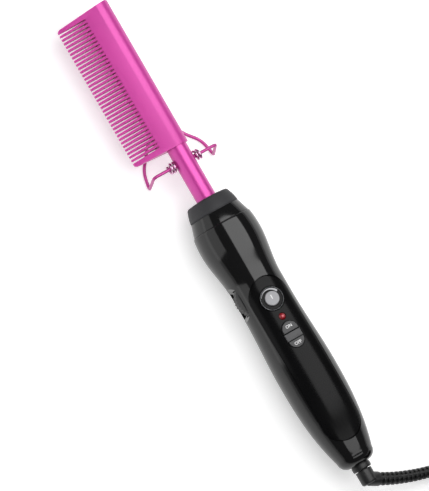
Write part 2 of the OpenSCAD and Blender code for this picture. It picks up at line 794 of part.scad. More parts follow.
module swivel_body() color("#1c1c1c") {
    turned([[0, -swivel_end], [swivel_r - 1.2, -swivel_end], [swivel_r - 0.35, -swivel_end + 0.35],
            [swivel_r, -swivel_end + 1.2], [swivel_r, -swivel_x], [shaft_r, -swivel_x],
            [shaft_r, -collar_flange_x + gap], [shaft_r + 1.6, -collar_flange_x + gap],
            [shaft_r + 1.6, -collar_flange_x + gap + 1.5], [ring_core_r, -collar_flange_x + gap + 1.5],
            [ring_core_r, -shaft_end], [0, -shaft_end]]);
    translate([-elbow_x, 0, axis_h]) rotate([boot_roll, 0, 0]) rotate([0, 90, 180 + boot_angle])
        cylinder(r = boot_r + 0.3, h = boot_start - 0.1);
}

module slip_rings() color("goldenrod") for (back = ring_places) difference() {
    bar(ring_r, -back - ring_len, -back);
    bar(ring_core_r + fit, -back - ring_len - 1, -back + 1);
}

module contact_brushes() color("goldenrod") for (i = [0, 1]) {
    side = 2 * i - 1;
    at(ring_places[i] + ring_len, side * (ring_r + gap + brush_t / 2) - brush_t / 2, -brush_low)
        cube([ring_len, brush_t, brush_len]);
}

// Two wires from the brushes to the circuit board
module supply_leads() color("saddlebrown") for (i = [0, 1]) {
    side = 2 * i - 1;
    start = ring_places[i] + ring_len / 2;
    y = side * (ring_r + brush_t + 2 * gap + lead_r);
    rise = board_n - lead_bend / 3;
    tube([[-start, y, axis_h - lead_bend], [-start + lead_bend, y, axis_h - 0.9 * lead_bend],
          [-start + 2.4 * lead_bend, y, axis_h - lead_bend / 2],
          [-start + 4.4 * lead_bend, y, axis_h + lead_bend / 3],
          [-board_back - 1.4 * lead_bend, y, axis_h + rise + 0.2 * lead_bend],
          [-board_back - lead_bend / 2, y, axis_h + board_n + board_t / 4],
          [-board_back - gap, y, axis_h + board_n + board_t / 2]], lead_r, 8);
}

// The ribbed strain relief, on its bent middle line
module strain_relief() color("#1c1c1c") {
    ribs = floor((boot_len - boot_root - boot_tip) / boot_pitch);
    edge = boot_pitch / 30;
    places = concat([[0, boot_r], [boot_root, boot_r - 0.1]],
        [for (i = [0 : ribs - 1]) let (s = boot_root + i * boot_pitch, middle = s + boot_pitch / 2,
                                       r = boot_r - (boot_r - boot_end_r) * s / boot_len)
            each [[s + edge, r - groove_deep], [middle, r - groove_deep],
                  [middle + edge, r], [s + boot_pitch, r]]],
        [[boot_len, boot_end_r]]);
    tube([for (place = places) boot_point(boot_start + place[0])], [for (place = places) place[1]], 10);
}

module cord_run() color("#1c1c1c") tube(run_path, cord_r, 12);

module cord_coil() color("#1c1c1c") tube(coil_points, cord_r, 6);

module cord_tail() color("#1c1c1c") tube(tail_path, cord_r, 12);

// A flat ring round all the coil's turns
module coil_tie() color("#2a2a2a") {
    inner = coil_in_r - cord_r - tie_gap;
    outer = coil_r + cord_r + tie_gap;
    top = coil_top + cord_r + tie_gap;
    translate([coil_mid.x, coil_mid.y, 0]) rotate(60) rotate([90, 0, 0])
        translate([0, 0, -tie_w / 2]) linear_extrude(tie_w) difference() {
            translate([inner - tie_t, 0]) square([outer - inner + 2 * tie_t, top + tie_t]);
            translate([inner, tie_t]) square([outer - inner, top - tie_t]);
        }
}

// Places its children where the cord meets the plug, with their X along the plug
module at_plug() {
    translate(plug_start) rotate(plug_angle) children();
}

module plug_body() color("#1c1c1c") at_plug() {
    rotate([0, 90, 0]) cylinder(r1 = cord_r + 0.6, r2 = cord_r + 2, h = relief_len + 0.5);
    intersection() {
        translate([relief_len, 0, -plug_t / 2]) linear_extrude(plug_t)
            polygon([[0, -plug_w / 4], [plug_len * 0.45, -plug_w / 2], [plug_len, -plug_w / 2],
                     [plug_len, plug_w / 2], [plug_len * 0.45, plug_w / 2], [0, plug_w / 4]]);
        translate([relief_len, far, 0]) rotate([90, 0, 0]) linear_extrude(2 * far)
            polygon([[0, -plug_t / 2 + 2], [2, -plug_t / 2], [plug_len, -plug_t / 2],
                     [plug_len, plug_t / 2], [2, plug_t / 2], [0, plug_t / 2 - 2]]);
    }
}

module plug_blades() color("goldenrod") at_plug() for (side = [-1, 1])
    translate([relief_len + plug_len, side * blade_gap / 2, 0]) difference() {
        translate([0, -blade_t / 2, -blade_w / 2]) cube([blade_len, blade_t, blade_w]);
        translate([blade_len - 3.2, 1, 0]) rotate([90, 0, 0]) cylinder(r = 1.6, h = 2);
    }

comb_head();
neck_tube();
heater_rod();
heater_sleeve();
thermal_fuse();
heat_sensor();
heater_leads();
heat_washer();
nose_cap();
collar_ring();
front_shell();
back_shell();
shell_screws();
control_panel();
dial_bezel();
temperature_dial();
dial_pointer();
dial_potentiometer();
power_led();
on_button();
off_button();
button_bar();
button_switches();
circuit_board();
thumb_wheel();
wheel_post();
stand_wire();
stand_springs();
tail_collar();
swivel_body();
slip_rings();
contact_brushes();
supply_leads();
strain_relief();
cord_run();
cord_coil();
cord_tail();
coil_tie();
plug_body();
plug_blades();
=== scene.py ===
"""Looks for an electric hot comb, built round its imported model.

Every length is in metres and every place is in the model's own frame: +X runs to the comb's tip,
+Y to its teeth and +Z to the side with the controls. The comb rests on the floor at Z = 0.
"""

import logging
import math
from dataclasses import dataclass, field
from enum import Enum
from typing import Callable, Optional, Sequence

import bmesh
import bpy
from mathutils import Matrix, Vector


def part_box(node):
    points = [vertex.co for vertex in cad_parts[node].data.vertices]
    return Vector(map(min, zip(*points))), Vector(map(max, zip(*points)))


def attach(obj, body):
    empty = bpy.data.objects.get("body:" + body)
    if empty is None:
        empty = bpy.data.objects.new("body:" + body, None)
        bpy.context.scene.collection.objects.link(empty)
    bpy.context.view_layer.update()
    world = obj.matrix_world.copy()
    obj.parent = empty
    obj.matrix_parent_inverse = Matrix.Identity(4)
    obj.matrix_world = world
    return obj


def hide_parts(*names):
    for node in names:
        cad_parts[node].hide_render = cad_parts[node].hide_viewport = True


LOG = logging.getLogger("hot_comb")
MM = 0.001
Point2 = tuple[float, float]
Colour = tuple[float, float, float]

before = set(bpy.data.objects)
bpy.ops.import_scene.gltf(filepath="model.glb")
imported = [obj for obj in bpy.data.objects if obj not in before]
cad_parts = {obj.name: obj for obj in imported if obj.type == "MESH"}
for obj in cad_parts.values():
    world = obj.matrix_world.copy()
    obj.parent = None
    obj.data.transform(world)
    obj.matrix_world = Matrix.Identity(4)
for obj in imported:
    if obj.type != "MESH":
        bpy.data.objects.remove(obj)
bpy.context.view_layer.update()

# How much nearer the tail the crease and the cap's seam lie than in the model
CREASE_BACK, SEAM_BACK = 0.8 * MM, 0.7 * MM

# Places along the handle's axis, read from the frame
AXIS_H = sum(corner.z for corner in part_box("neck_tube")) / 2
CREASE_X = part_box("collar_ring")[0].x - CREASE_BACK
NOSE_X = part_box("nose_cap")[0].x - SEAM_BACK
NOSE_TOP_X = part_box("nose_cap")[1].x
NECK_BACK_X, NECK_FRONT_X = (corner.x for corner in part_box("neck_tube"))
COMB_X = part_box("comb_head")[0].x
TAIL_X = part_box("back_shell")[0].x
PIVOT_X = sum(corner.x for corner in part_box("stand_springs")) / 2


class Body(Enum):
    """The moving bodies of the model that pieces ride on."""

    HANDLE = "handle"
    DIAL = "dial"
    ON_KEY = "on_key"
    OFF_KEY = "off_key"
    STAND = "stand"
    SWIVEL = "swivel"


class Cut(Enum):
    """How one solid shapes another."""

    TAKE = "DIFFERENCE"
    KEEP = "INTERSECT"
    JOIN = "UNION"


# ---- Mesh tools ----


def shade(mesh: bpy.types.Mesh, crease: float = 35.0) -> None:
    """Makes a mesh smooth except across edges sharper than the crease, in degrees."""
    mesh.polygons.foreach_set("use_smooth", [True] * len(mesh.polygons))
    mesh.set_sharp_from_angle(angle=math.radians(crease))


def link_mesh(name: str, mesh: bpy.types.Mesh, crease: float = 35.0) -> bpy.types.Object:
    """Puts a mesh in the scene, smooth except across edges sharper than the crease.

    Args:
        name: Name of the piece.
        mesh: Its mesh, already in place.
        crease: Angle in degrees above which an edge stays sharp.

    Returns:
        The new object, at the origin.
    """
    shade(mesh, crease)
    piece = bpy.data.objects.new(name, mesh)
    bpy.context.scene.collection.objects.link(piece)
    return piece


def to_piece(name: str, bm: bmesh.types.BMesh, crease: float = 35.0) -> bpy.types.Object:
    """Turns a bmesh into a piece and frees it.

    Args:
        name: Name of the piece.
        bm: The finished bmesh.
        crease: Angle in degrees above which an edge stays sharp.

    Returns:
        The new object.
    """
    mesh = bpy.data.meshes.new(name)
    bm.to_mesh(mesh)
    bm.free()
    return link_mesh(name, mesh, crease)


def face_out(bm: bmesh.types.BMesh) -> bmesh.types.BMesh:
    """Merges doubled points and turns all faces outwards.

    Args:
        bm: A closed bmesh.

    Returns:
        The same bmesh.
    """
    bmesh.ops.remove_doubles(bm, verts=bm.verts[:], dist=1e-7)
    bmesh.ops.recalc_face_normals(bm, faces=bm.faces[:])
    return bm


def move(bm: bmesh.types.BMesh, place: Matrix) -> bmesh.types.BMesh:
    """Puts a whole bmesh in its place and gives it back."""
    bmesh.ops.transform(bm, matrix=place, verts=bm.verts[:])
    return bm


def draw_out(bm: bmesh.types.BMesh, faces: Sequence[bmesh.types.BMFace],
             along: Sequence[float]) -> None:
    """Draws faces out along a vector."""
    raised = bmesh.ops.extrude_face_region(bm, geom=list(faces))["geom"]
    bmesh.ops.translate(bm, vec=along,
                        verts=[part for part in raised if isinstance(part, bmesh.types.BMVert)])


def spin(points: Sequence[Sequence[float]], centre: Sequence[float], axis: Sequence[float],
         steps: int, closed: bool) -> bmesh.types.BMesh:
    """Turns a line of points right round an axis.

    Args:
        points: The line.
        centre: A point of the axis.
        axis: Its direction.
        steps: Segments in the full turn.
        closed: Whether the line's last point joins its first.

    Returns:
        The turned faces.
    """
    bm = bmesh.new()
    ring = [bm.verts.new(point) for point in points]
    pairs = list(zip(ring, ring[1:])) + ([(ring[-1], ring[0])] if closed else [])
    edges = [bm.edges.new(pair) for pair in pairs]
    bmesh.ops.spin(bm, geom=ring + edges, cent=centre, axis=axis, angle=math.tau, steps=steps,
                   use_merge=True)
    return bm


def drum(radius: float, length: float, steps: int, x: float = 0.0,
         flare: float = 0.0) -> bmesh.types.BMesh:
    """A cylinder along X.

    Args:
        radius: Its radius.
        length: Its length.
        steps: Segments round it.
        x: Place of its middle.
        flare: How much wider its far end is.

    Returns:
        The closed solid.
    """
    bm = bmesh.new()
    place = Matrix.Translation((x, 0, 0)) @ Matrix.Rotation(math.pi / 2, 4, "Y")
    bmesh.ops.create_cone(bm, cap_ends=True, segments=steps, radius1=radius,
                          radius2=radius + flare, depth=length, matrix=place)
    return bm


def arc(middle: Point2, radius: float, start: float, end: float, steps: int = 8) -> list[Point2]:
    """Points on an arc.

    Args:
        middle: Centre of the arc.
        radius: Its radius.
        start: First angle in degrees.
        end: Last angle in degrees.
        steps: Number of segments.

    Returns:
        The points, from start to end.
    """
    angles = (math.radians(start + (end - start) * i / steps) for i in range(steps + 1))
    return [(middle[0] + radius * math.cos(a), middle[1] + radius * math.sin(a)) for a in angles]


def lathe(section: Sequence[Point2], steps: int = 96, closed: bool = False,
          middle: Point2 = (0.0, 0.0)) -> bmesh.types.BMesh:
    """Turns a section round a line along X.

    Args:
        section: Points of (place along X, radius).
        steps: Segments in the full turn.
        closed: Whether the section's last point joins its first.
        middle: Y of the line, and its height above the handle's axis.

    Returns:
        The closed solid.
    """
    centre = Vector((0.0, middle[0], AXIS_H + middle[1]))
    line = [centre + Vector((x, 0.0, r)) for x, r in section]
    return face_out(spin(line, centre, (1, 0, 0), steps, closed))


def plate(outline: Sequence[Point2], low: float, high: float) -> bmesh.types.BMesh:
    """Raises a flat outline in X and Y into a plate.

    Args:
        outline: Its points, in order.
        low: Height of the underside.
        high: Height of the top.

    Returns:
        The closed plate.
    """
    bm = bmesh.new()
    base = bm.faces.new([bm.verts.new((x, y, low)) for x, y in outline])
    draw_out(bm, [base], (0, 0, high - low))
    return face_out(bm)


def disc(x: float, y: float, radius: float, low: float, high: float,
         steps: int = 96) -> bmesh.types.BMesh:
    """An upright cylinder.

    Args:
        x: Place of its middle.
        y: Place of its middle.
        radius: Its radius.
        low: Height of its foot.
        high: Height of its top.
        steps: Segments round it.

    Returns:
        The closed cylinder.
    """
    bm = bmesh.new()
    place = Matrix.Translation((x, y, (low + high) / 2))
    bmesh.ops.create_cone(bm, cap_ends=True, segments=steps, radius1=radius, radius2=radius,
                          depth=high - low, matrix=place)
    return bm


def block(low: Sequence[float], high: Sequence[float]) -> bmesh.types.BMesh:
    """A box between two corners.

    Args:
        low: Its lowest corner.
        high: Its highest corner.

    Returns:
        The closed box.
    """
    bm = bmesh.new()
    first, last = Vector(low), Vector(high)
    place = Matrix.Translation((first + last) / 2) @ Matrix.Diagonal((*(last - first), 1.0))
    bmesh.ops.create_cube(bm, size=1.0, matrix=place)
    return bm


def round_edges(bm: bmesh.types.BMesh, width: float, angle: float = 40.0, segments: int = 3,
                where: Optional[Callable[[Vector], bool]] = None) -> bmesh.types.BMesh:
    """Rounds the edges that are sharper than an angle.

    Args:
        bm: The solid.
        width: Width of the rounding.
        angle: Least angle between an edge's faces, in degrees.
        segments: Faces across the rounding.
        where: Says for an edge's middle whether it is rounded.

    Returns:
        The same bmesh.
    """
    chosen = [edge for edge in bm.edges if len(edge.link_faces) == 2
              and edge.calc_face_angle() > math.radians(angle)
              and (where is None or where((edge.verts[0].co + edge.verts[1].co) / 2))]
    bmesh.ops.bevel(bm, geom=chosen, offset=width, segments=segments, profile=0.5,
                    affect="EDGES", material=-1, clamp_overlap=True)
    return bm


def carve(piece: bpy.types.Object, tool: bmesh.types.BMesh, how: Cut = Cut.TAKE) -> None:
    """Shapes a piece with a solid, which is used up.

    Args:
        piece: The piece to shape.
        tool: The solid that shapes it.
        how: Whether it is taken away, kept in common or joined.
    """
    cutter = to_piece("tool", tool)
    step = piece.modifiers.new("cut", "BOOLEAN")
    step.operation, step.object, step.solver = how.value, cutter, "EXACT"
    shaped = bpy.data.meshes.new_from_object(
        piece.evaluated_get(bpy.context.evaluated_depsgraph_get()))
    piece.modifiers.remove(step)
    name, old = piece.data.name, piece.data
    piece.data = shaped
    bpy.data.meshes.remove(old)
    shaped.name = name
    shade(shaped)
    bpy.data.objects.remove(cutter)


def solid_of(piece: bpy.types.Object) -> bmesh.types.BMesh:
    """Takes a piece out of the scene and gives back its solid, merged.

    Args:
        piece: The piece.

    Returns:
        Its bmesh.
    """
    bm = bmesh.new()
    bm.from_mesh(piece.data)
    bpy.data.objects.remove(piece)
    bmesh.ops.remove_doubles(bm, verts=bm.verts[:], dist=2e-7)
    return bm


def slice_across(bm: bmesh.types.BMesh, axis: int, places: Sequence[float]) -> bmesh.types.BMesh:
    """Adds edges across a solid at some places along an axis, so that it can bend.

    Args:
        bm: The solid.
        axis: 0 for X, 1 for Y and 2 for Z.
        places: Where it is cut.

    Returns:
        The same bmesh.
    """
    normal = Vector([float(i == axis) for i in range(3)])
    for place in places:
        bmesh.ops.bisect_plane(bm, geom=bm.verts[:] + bm.edges[:] + bm.faces[:], dist=1e-7,
                               plane_co=normal * place, plane_no=normal)
    return bm


def keep_side(bm: bmesh.types.BMesh, place: Sequence[float],
              normal: Sequence[float]) -> bmesh.types.BMesh:
    """Cuts a solid with a plane, keeps the side that the normal points to, and closes it.

    Args:
        bm: The solid.
        place: A point of the plane.
        normal: Direction of the side that stays.

    Returns:
        The same bmesh, closed.
    """
    cut = bmesh.ops.bisect_plane(bm, geom=bm.verts[:] + bm.edges[:] + bm.faces[:], dist=1e-7,
                                 plane_co=place, plane_no=normal, clear_inner=True)
    rim = [part for part in cut["geom_cut"] if isinstance(part, bmesh.types.BMEdge)]
    bmesh.ops.holes_fill(bm, edges=rim, sides=0)
    return face_out(bm)


def smooth_path(points: Sequence[Sequence[float]], steps: int = 6) -> list[Vector]:
    """A smooth line through points.

    Args:
        points: The points, in order.
        steps: Segments between two of them.

    Returns:
        The points of the smooth line.
    """
    knots = [Vector(point) for point in points]
    knots = [2 * knots[0] - knots[1], *knots, 2 * knots[-1] - knots[-2]]
    line = []
    for a, b, c, d in zip(knots, knots[1:], knots[2:], knots[3:]):
        for t in (i / steps for i in range(steps)):
            line.append(0.5 * (2 * b + (c - a) * t + (2 * a - 5 * b + 4 * c - d) * t**2
                               + (3 * b - a - 3 * c + d) * t**3))
    return line + [knots[-2]]


def round_line(name: str, points: Sequence[Vector], radius: float,
               sides: int = 4) -> bpy.types.Object:
    """A round line through points, as a curve.

    Args:
        name: Name of the curve.
        points: Its points.
        radius: Its radius.
        sides: Smoothness round it; a quarter turn has half of these steps and one more.

    Returns:
        The curve object.
    """
    data = bpy.data.curves.new(name, "CURVE")
    data.dimensions = "3D"
    data.bevel_depth, data.bevel_resolution = radius, sides
    data.use_fill_caps = True
    data.twist_mode = "MINIMUM"
    spline = data.splines.new("POLY")
    spline.points.add(len(points) - 1)
    for knot, point in zip(spline.points, points):
        knot.co = (*point, 1.0)
    line = bpy.data.objects.new(name, data)
    bpy.context.scene.collection.objects.link(line)
    return line


def wire(points: Sequence[Vector], radius: float, sides: int = 4) -> bmesh.types.BMesh:
    """A round wire through points.

    Args:
        points: Its points.
        radius: Its radius.
        sides: Smoothness round it.

    Returns:
        The closed wire.
    """
    line = round_line("wire", points, radius, sides)
    mesh = bpy.data.meshes.new_from_object(
        line.evaluated_get(bpy.context.evaluated_depsgraph_get()))
    bpy.data.objects.remove(line)
    bm = bmesh.new()
    bm.from_mesh(mesh)
    bpy.data.meshes.remove(mesh)
    return face_out(bm)


def join(*solids: bmesh.types.BMesh) -> bmesh.types.BMesh:
    """Puts several solids into one bmesh; they are used up.

    Args:
        *solids: The solids.

    Returns:
        One bmesh with all of them.
    """
    whole = bmesh.new()
    for solid in solids:
        mesh = bpy.data.meshes.new("part")
        solid.to_mesh(mesh)
        solid.free()
        whole.from_mesh(mesh)
        bpy.data.meshes.remove(mesh)
    return whole


def stadium(front: float, back: float, half: float, steps: int = 40) -> list[Point2]:
    """A long shape with round ends, along X and centred on the axis.

    Args:
        front: Its greatest X.
        back: Its least X.
        half: Half its width.
        steps: Segments in each round end.

    Returns:
        Its outline.
    """
    return (arc((front - half, 0.0), half, -90, 90, steps)
            + arc((back + half, 0.0), half, 90, 270, steps))


# ---- Finishes ----


def linear(red: int, green: int, blue: int) -> Colour:
    """A colour of 0 to 255 a channel, as a shader wants it."""
    def channel(value: int) -> float:
        v = value / 255
        return v / 12.92 if v <= 0.04045 else ((v + 0.055) / 1.055) ** 2.4
    return channel(red), channel(green), channel(blue)


def group_shell(name: str, inputs: dict[str, float], outputs: dict[str, str]
                ) -> tuple[bpy.types.NodeTree, bpy.types.Node, bpy.types.Node]:
    """A node group with a Place input, some numbers and its outputs.

    Args:
        name: Name of the group.
        inputs: Its number inputs with their usual values.
        outputs: Its outputs with their socket types.

    Returns:
        The tree, its input node and its output node.
    """
    tree = bpy.data.node_groups.new(name, "ShaderNodeTree")
    tree.interface.new_socket(name="Place", in_out="INPUT", socket_type="NodeSocketVector")
    for label, value in inputs.items():
        socket = tree.interface.new_socket(name=label, in_out="INPUT",
                                           socket_type="NodeSocketFloat")
        socket.default_value = value
    for label, kind in outputs.items():
        tree.interface.new_socket(name=label, in_out="OUTPUT", socket_type=kind)
    return tree, tree.nodes.new("NodeGroupInput"), tree.nodes.new("NodeGroupOutput")


def maths(tree: bpy.types.NodeTree, how: str, first: object, second: object,
          clamp: bool = False) -> bpy.types.NodeSocket:
    """Adds a Math node.

    Args:
        tree: The tree it goes in.
        how: Its operation.
        first: A socket or a number.
        second: A socket or a number.
        clamp: Whether the result stays between 0 and 1.

    Returns:
        Its output.
    """
    node = tree.nodes.new("ShaderNodeMath")
    node.operation, node.use_clamp = how, clamp
    for socket, value in zip(node.inputs, (first, second)):
        if isinstance(value, bpy.types.NodeSocket):
            tree.links.new(value, socket)
        else:
            socket.default_value = value
    return node.outputs[0]


def noise(tree: bpy.types.NodeTree, place: bpy.types.NodeSocket, scale: object,
          detail: float = 2.0) -> bpy.types.NodeSocket:
    """Adds a Noise Texture and returns its value."""
    node = tree.nodes.new("ShaderNodeTexNoise")
    node.inputs["Detail"].default_value = detail
    tree.links.new(place, node.inputs["Vector"])
    if isinstance(scale, bpy.types.NodeSocket):
        tree.links.new(scale, node.inputs["Scale"])
    else:
        node.inputs["Scale"].default_value = scale
    return node.outputs["Fac"]


def make_grain() -> bpy.types.NodeTree:
    """Fine grain of moulded plastic or paint: a height for the bump and a slow tone."""
    tree, given, result = group_shell("fine_grain", {"Scale": 2000.0, "Depth": 1.0},
                                      {"Height": "NodeSocketFloat", "Tone": "NodeSocketFloat"})
    fine = noise(tree, given.outputs["Place"], given.outputs["Scale"], 3.0)
    height = maths(tree, "MULTIPLY", fine, given.outputs["Depth"])
    tree.links.new(height, result.inputs["Height"])
    slow = maths(tree, "MULTIPLY", given.outputs["Scale"], 0.05)
    tree.links.new(noise(tree, given.outputs["Place"], slow, 3.0), result.inputs["Tone"])
    return tree


def make_scuffs() -> bpy.types.NodeTree:
    """Faint handling marks: thin streaks in two directions."""
    tree, given, result = group_shell("handling_marks", {"Scale": 60.0, "Amount": 0.2},
                                      {"Mask": "NodeSocketFloat"})
    total: object = 0.0
    for turn, stretch in ((0.4, (1.0, 26.0, 9.0)), (1.5, (22.0, 1.0, 7.0))):
        turned = tree.nodes.new("ShaderNodeMapping")
        turned.inputs["Rotation"].default_value = (0.0, 0.0, turn)
        turned.inputs["Scale"].default_value = stretch
        tree.links.new(given.outputs["Place"], turned.inputs["Vector"])
        streak = noise(tree, turned.outputs["Vector"], given.outputs["Scale"], 4.0)
        sharp = maths(tree, "MULTIPLY", maths(tree, "SUBTRACT", streak, 0.62), 9.0, True)
        total = maths(tree, "ADD", total, sharp, True)
    tree.links.new(maths(tree, "MULTIPLY", total, given.outputs["Amount"], True),
                   result.inputs["Mask"])
    return tree


def make_dust() -> bpy.types.NodeTree:
    """A trace of dust on what faces up."""
    tree, given, result = group_shell("settled_dust", {"Amount": 0.05},
                                      {"Mask": "NodeSocketFloat"})
    face = tree.nodes.new("ShaderNodeNewGeometry")
    split = tree.nodes.new("ShaderNodeSeparateXYZ")
    tree.links.new(face.outputs["Normal"], split.inputs[0])
    up = maths(tree, "MAXIMUM", split.outputs["Z"], 0.0)
    specks = noise(tree, given.outputs["Place"], 900.0, 6.0)
    drift = maths(tree, "MULTIPLY", specks, noise(tree, given.outputs["Place"], 45.0, 2.0))
    mask = maths(tree, "MULTIPLY", maths(tree, "MULTIPLY", drift, up), given.outputs["Amount"])
    tree.links.new(mask, result.inputs["Mask"])
    return tree


GROUPS: dict[str, bpy.types.NodeTree] = {}
MATERIALS: dict[str, bpy.types.Material] = {}


def group(name: str) -> bpy.types.NodeTree:
    """A shared node group, built when it is first asked for."""
    makers = {"grain": make_grain, "scuffs": make_scuffs, "dust": make_dust}
    if name not in GROUPS:
        GROUPS[name] = makers[name]()
    return GROUPS[name]


@dataclass(frozen=True)
class Finish:
    """A surface: its colour, its gloss and the detail that breaks both up."""

    name: str
    colour: Colour
    roughness: float = 0.4
    metallic: float = 0.0
    coat: float = 0.0
    coat_roughness: float = 0.05
    ior: float = 1.5
    specular: float = 0.5
    sheen: float = 0.0
    grain: float = 2200.0
    depth: float = 0.02 * MM
    bump: float = 0.15
    mottle: float = 0.06
    rough_spread: float = 0.08
    scuffs: float = 0.15
    dust: float = 0.03

    def material(self) -> bpy.types.Material:
        """The finish's material, built once."""
        if self.name not in MATERIALS:
            MATERIALS[self.name] = self.build()
        return MATERIALS[self.name]

    def build(self) -> bpy.types.Material:
        """Builds the material.

        Returns:
            The new material.
        """
        made = bpy.data.materials.new(self.name + "_finish")
        made.use_nodes = True
        tree = made.node_tree
        skin = tree.nodes["Principled BSDF"]
        skin.inputs["Metallic"].default_value = self.metallic
        skin.inputs["Coat Weight"].default_value = self.coat
        skin.inputs["Coat Roughness"].default_value = self.coat_roughness
        skin.inputs["IOR"].default_value = self.ior
        skin.inputs["Specular IOR Level"].default_value = self.specular
        skin.inputs["Sheen Weight"].default_value = self.sheen
        place = tree.nodes.new("ShaderNodeTexCoord").outputs["Object"]
        grain = self.add(tree, "grain", place, Scale=self.grain, Depth=1.0)
        scuffs = self.add(tree, "scuffs", place, Scale=55.0, Amount=self.scuffs)
        dust = self.add(tree, "dust", place, Amount=self.dust)
        colour = self.tint(tree, place, grain.outputs["Tone"], dust.outputs["Mask"])
        tree.links.new(colour, skin.inputs["Base Color"])
        spread = maths(tree, "MULTIPLY", maths(tree, "SUBTRACT", grain.outputs["Tone"], 0.5),
                       self.rough_spread)
        marks = maths(tree, "ADD", maths(tree, "MULTIPLY", scuffs.outputs["Mask"], 0.35),
                      dust.outputs["Mask"])
        rough = maths(tree, "ADD", maths(tree, "ADD", spread, marks), self.roughness, True)
        tree.links.new(rough, skin.inputs["Roughness"])
        bump = tree.nodes.new("ShaderNodeBump")
        bump.inputs["Strength"].default_value = self.bump
        bump.inputs["Distance"].default_value = self.depth
        tree.links.new(self.relief(tree, place, grain.outputs["Height"]), bump.inputs["Height"])
        tree.links.new(bump.outputs["Normal"], skin.inputs["Normal"])
        self.extra(tree, skin, place)
        return made

    @staticmethod
    def add(tree: bpy.types.NodeTree, name: str, place: bpy.types.NodeSocket,
            **values: float) -> bpy.types.Node:
        """Adds a shared group with its own values."""
        node = tree.nodes.new("ShaderNodeGroup")
        node.node_tree = group(name)
        tree.links.new(place, node.inputs["Place"])
        for label, value in values.items():
            node.inputs[label].default_value = value
        return node

    def tint(self, tree: bpy.types.NodeTree, place: bpy.types.NodeSocket,
             tone: bpy.types.NodeSocket, dust: bpy.types.NodeSocket) -> bpy.types.NodeSocket:
        """The surface's colour, a little uneven and dusted."""
        def shade(factor: float) -> tuple[float, ...]:
            return tuple(min(1.0, part * factor) for part in self.colour) + (1.0,)
        return self.blend(tree, dust, self.blend(tree, tone, shade(1 - self.mottle),
                                                 shade(1 + self.mottle)), (0.5, 0.5, 0.5, 1.0))

    @staticmethod
    def blend(tree: bpy.types.NodeTree, amount: object, first: object,
              second: object) -> bpy.types.NodeSocket:
        """Mixes two colours by an amount."""
        node = tree.nodes.new("ShaderNodeMix")
        node.data_type = "RGBA"
        for socket, value in zip((node.inputs[0], node.inputs[6], node.inputs[7]),
                                 (amount, first, second)):
            if isinstance(value, bpy.types.NodeSocket):
                tree.links.new(value, socket)
            else:
                socket.default_value = value
        return node.outputs[2]

    def relief(self, tree: bpy.types.NodeTree, place: bpy.types.NodeSocket,
               height: bpy.types.NodeSocket) -> bpy.types.NodeSocket:
        """The height that the bump reads."""
        return height

    def extra(self, tree: bpy.types.NodeTree, skin: bpy.types.Node,
              place: bpy.types.NodeSocket) -> None:
        """Room for what one kind of finish adds."""


@dataclass(frozen=True)
class LampLens(Finish):
    """Red lens with a lighter heart where the light sits."""

    glow: Colour = (1.0, 0.16, 0.22)
    heart_x: float = -52.4 * MM
    heart_r: float = 1.1 * MM
    strength: float = 0.55

    def extra(self, tree: bpy.types.NodeTree, skin: bpy.types.Node,
              place: bpy.types.NodeSocket) -> None:
        """Adds the glow, which fades from the lens's middle."""
        middle = tree.nodes.new("ShaderNodeVectorMath")
        middle.operation = "DISTANCE"
        flat = tree.nodes.new("ShaderNodeVectorMath")
        flat.operation = "MULTIPLY"
        flat.inputs[1].default_value = (1.0, 1.0, 0.0)
        tree.links.new(place, flat.inputs[0])
        tree.links.new(flat.outputs[0], middle.inputs[0])
        middle.inputs[1].default_value = (self.heart_x, 0.0, 0.0)
        near = maths(tree, "SUBTRACT", 1.0, maths(tree, "DIVIDE", middle.outputs["Value"],
                                                  self.heart_r), True)
        colour = self.blend(tree, near, (0.05, 0.0, 0.001, 1.0), (*self.glow, 1.0))
        tree.links.new(colour, skin.inputs["Emission Color"])
        skin.inputs["Emission Strength"].default_value = self.strength


@dataclass(frozen=True)
class Turned(Finish):
    """Metal turned on a lathe, with fine rings round an upright line."""

    ring_x: float = -40.8 * MM
    rings: float = 9000.0

    def relief(self, tree: bpy.types.NodeTree, place: bpy.types.NodeSocket,
               height: bpy.types.NodeSocket) -> bpy.types.NodeSocket:
        """Rings round the dial's middle, added to the grain."""
        middle = tree.nodes.new("ShaderNodeMapping")
        middle.inputs["Location"].default_value = (-self.ring_x, 0.0, 0.0)
        middle.inputs["Scale"].default_value = (1.0, 1.0, 0.0)
        tree.links.new(place, middle.inputs["Vector"])
        length = tree.nodes.new("ShaderNodeVectorMath")
        length.operation = "LENGTH"
        tree.links.new(middle.outputs["Vector"], length.inputs[0])
        wave = maths(tree, "SINE", maths(tree, "MULTIPLY", length.outputs["Value"], self.rings),
                     0.0)
        return maths(tree, "ADD", maths(tree, "MULTIPLY", wave, 0.5), height)


@dataclass(frozen=True)
class Woven(Finish):
    """A woven tape or a looped fastener, with threads both ways."""

    threads: float = 5200.0

    def relief(self, tree: bpy.types.NodeTree, place: bpy.types.NodeSocket,
               height: bpy.types.NodeSocket) -> bpy.types.NodeSocket:
        """Threads in three directions, so that every side of the tape shows them."""
        split = tree.nodes.new("ShaderNodeSeparateXYZ")
        tree.links.new(place, split.inputs[0])
        total: object = height
        for label in ("X", "Y", "Z"):
            wave = maths(tree, "SINE", maths(tree, "MULTIPLY", split.outputs[label],
                                             self.threads), 0.0)
            total = maths(tree, "ADD", total, maths(tree, "MULTIPLY", wave, 0.35))
        return total


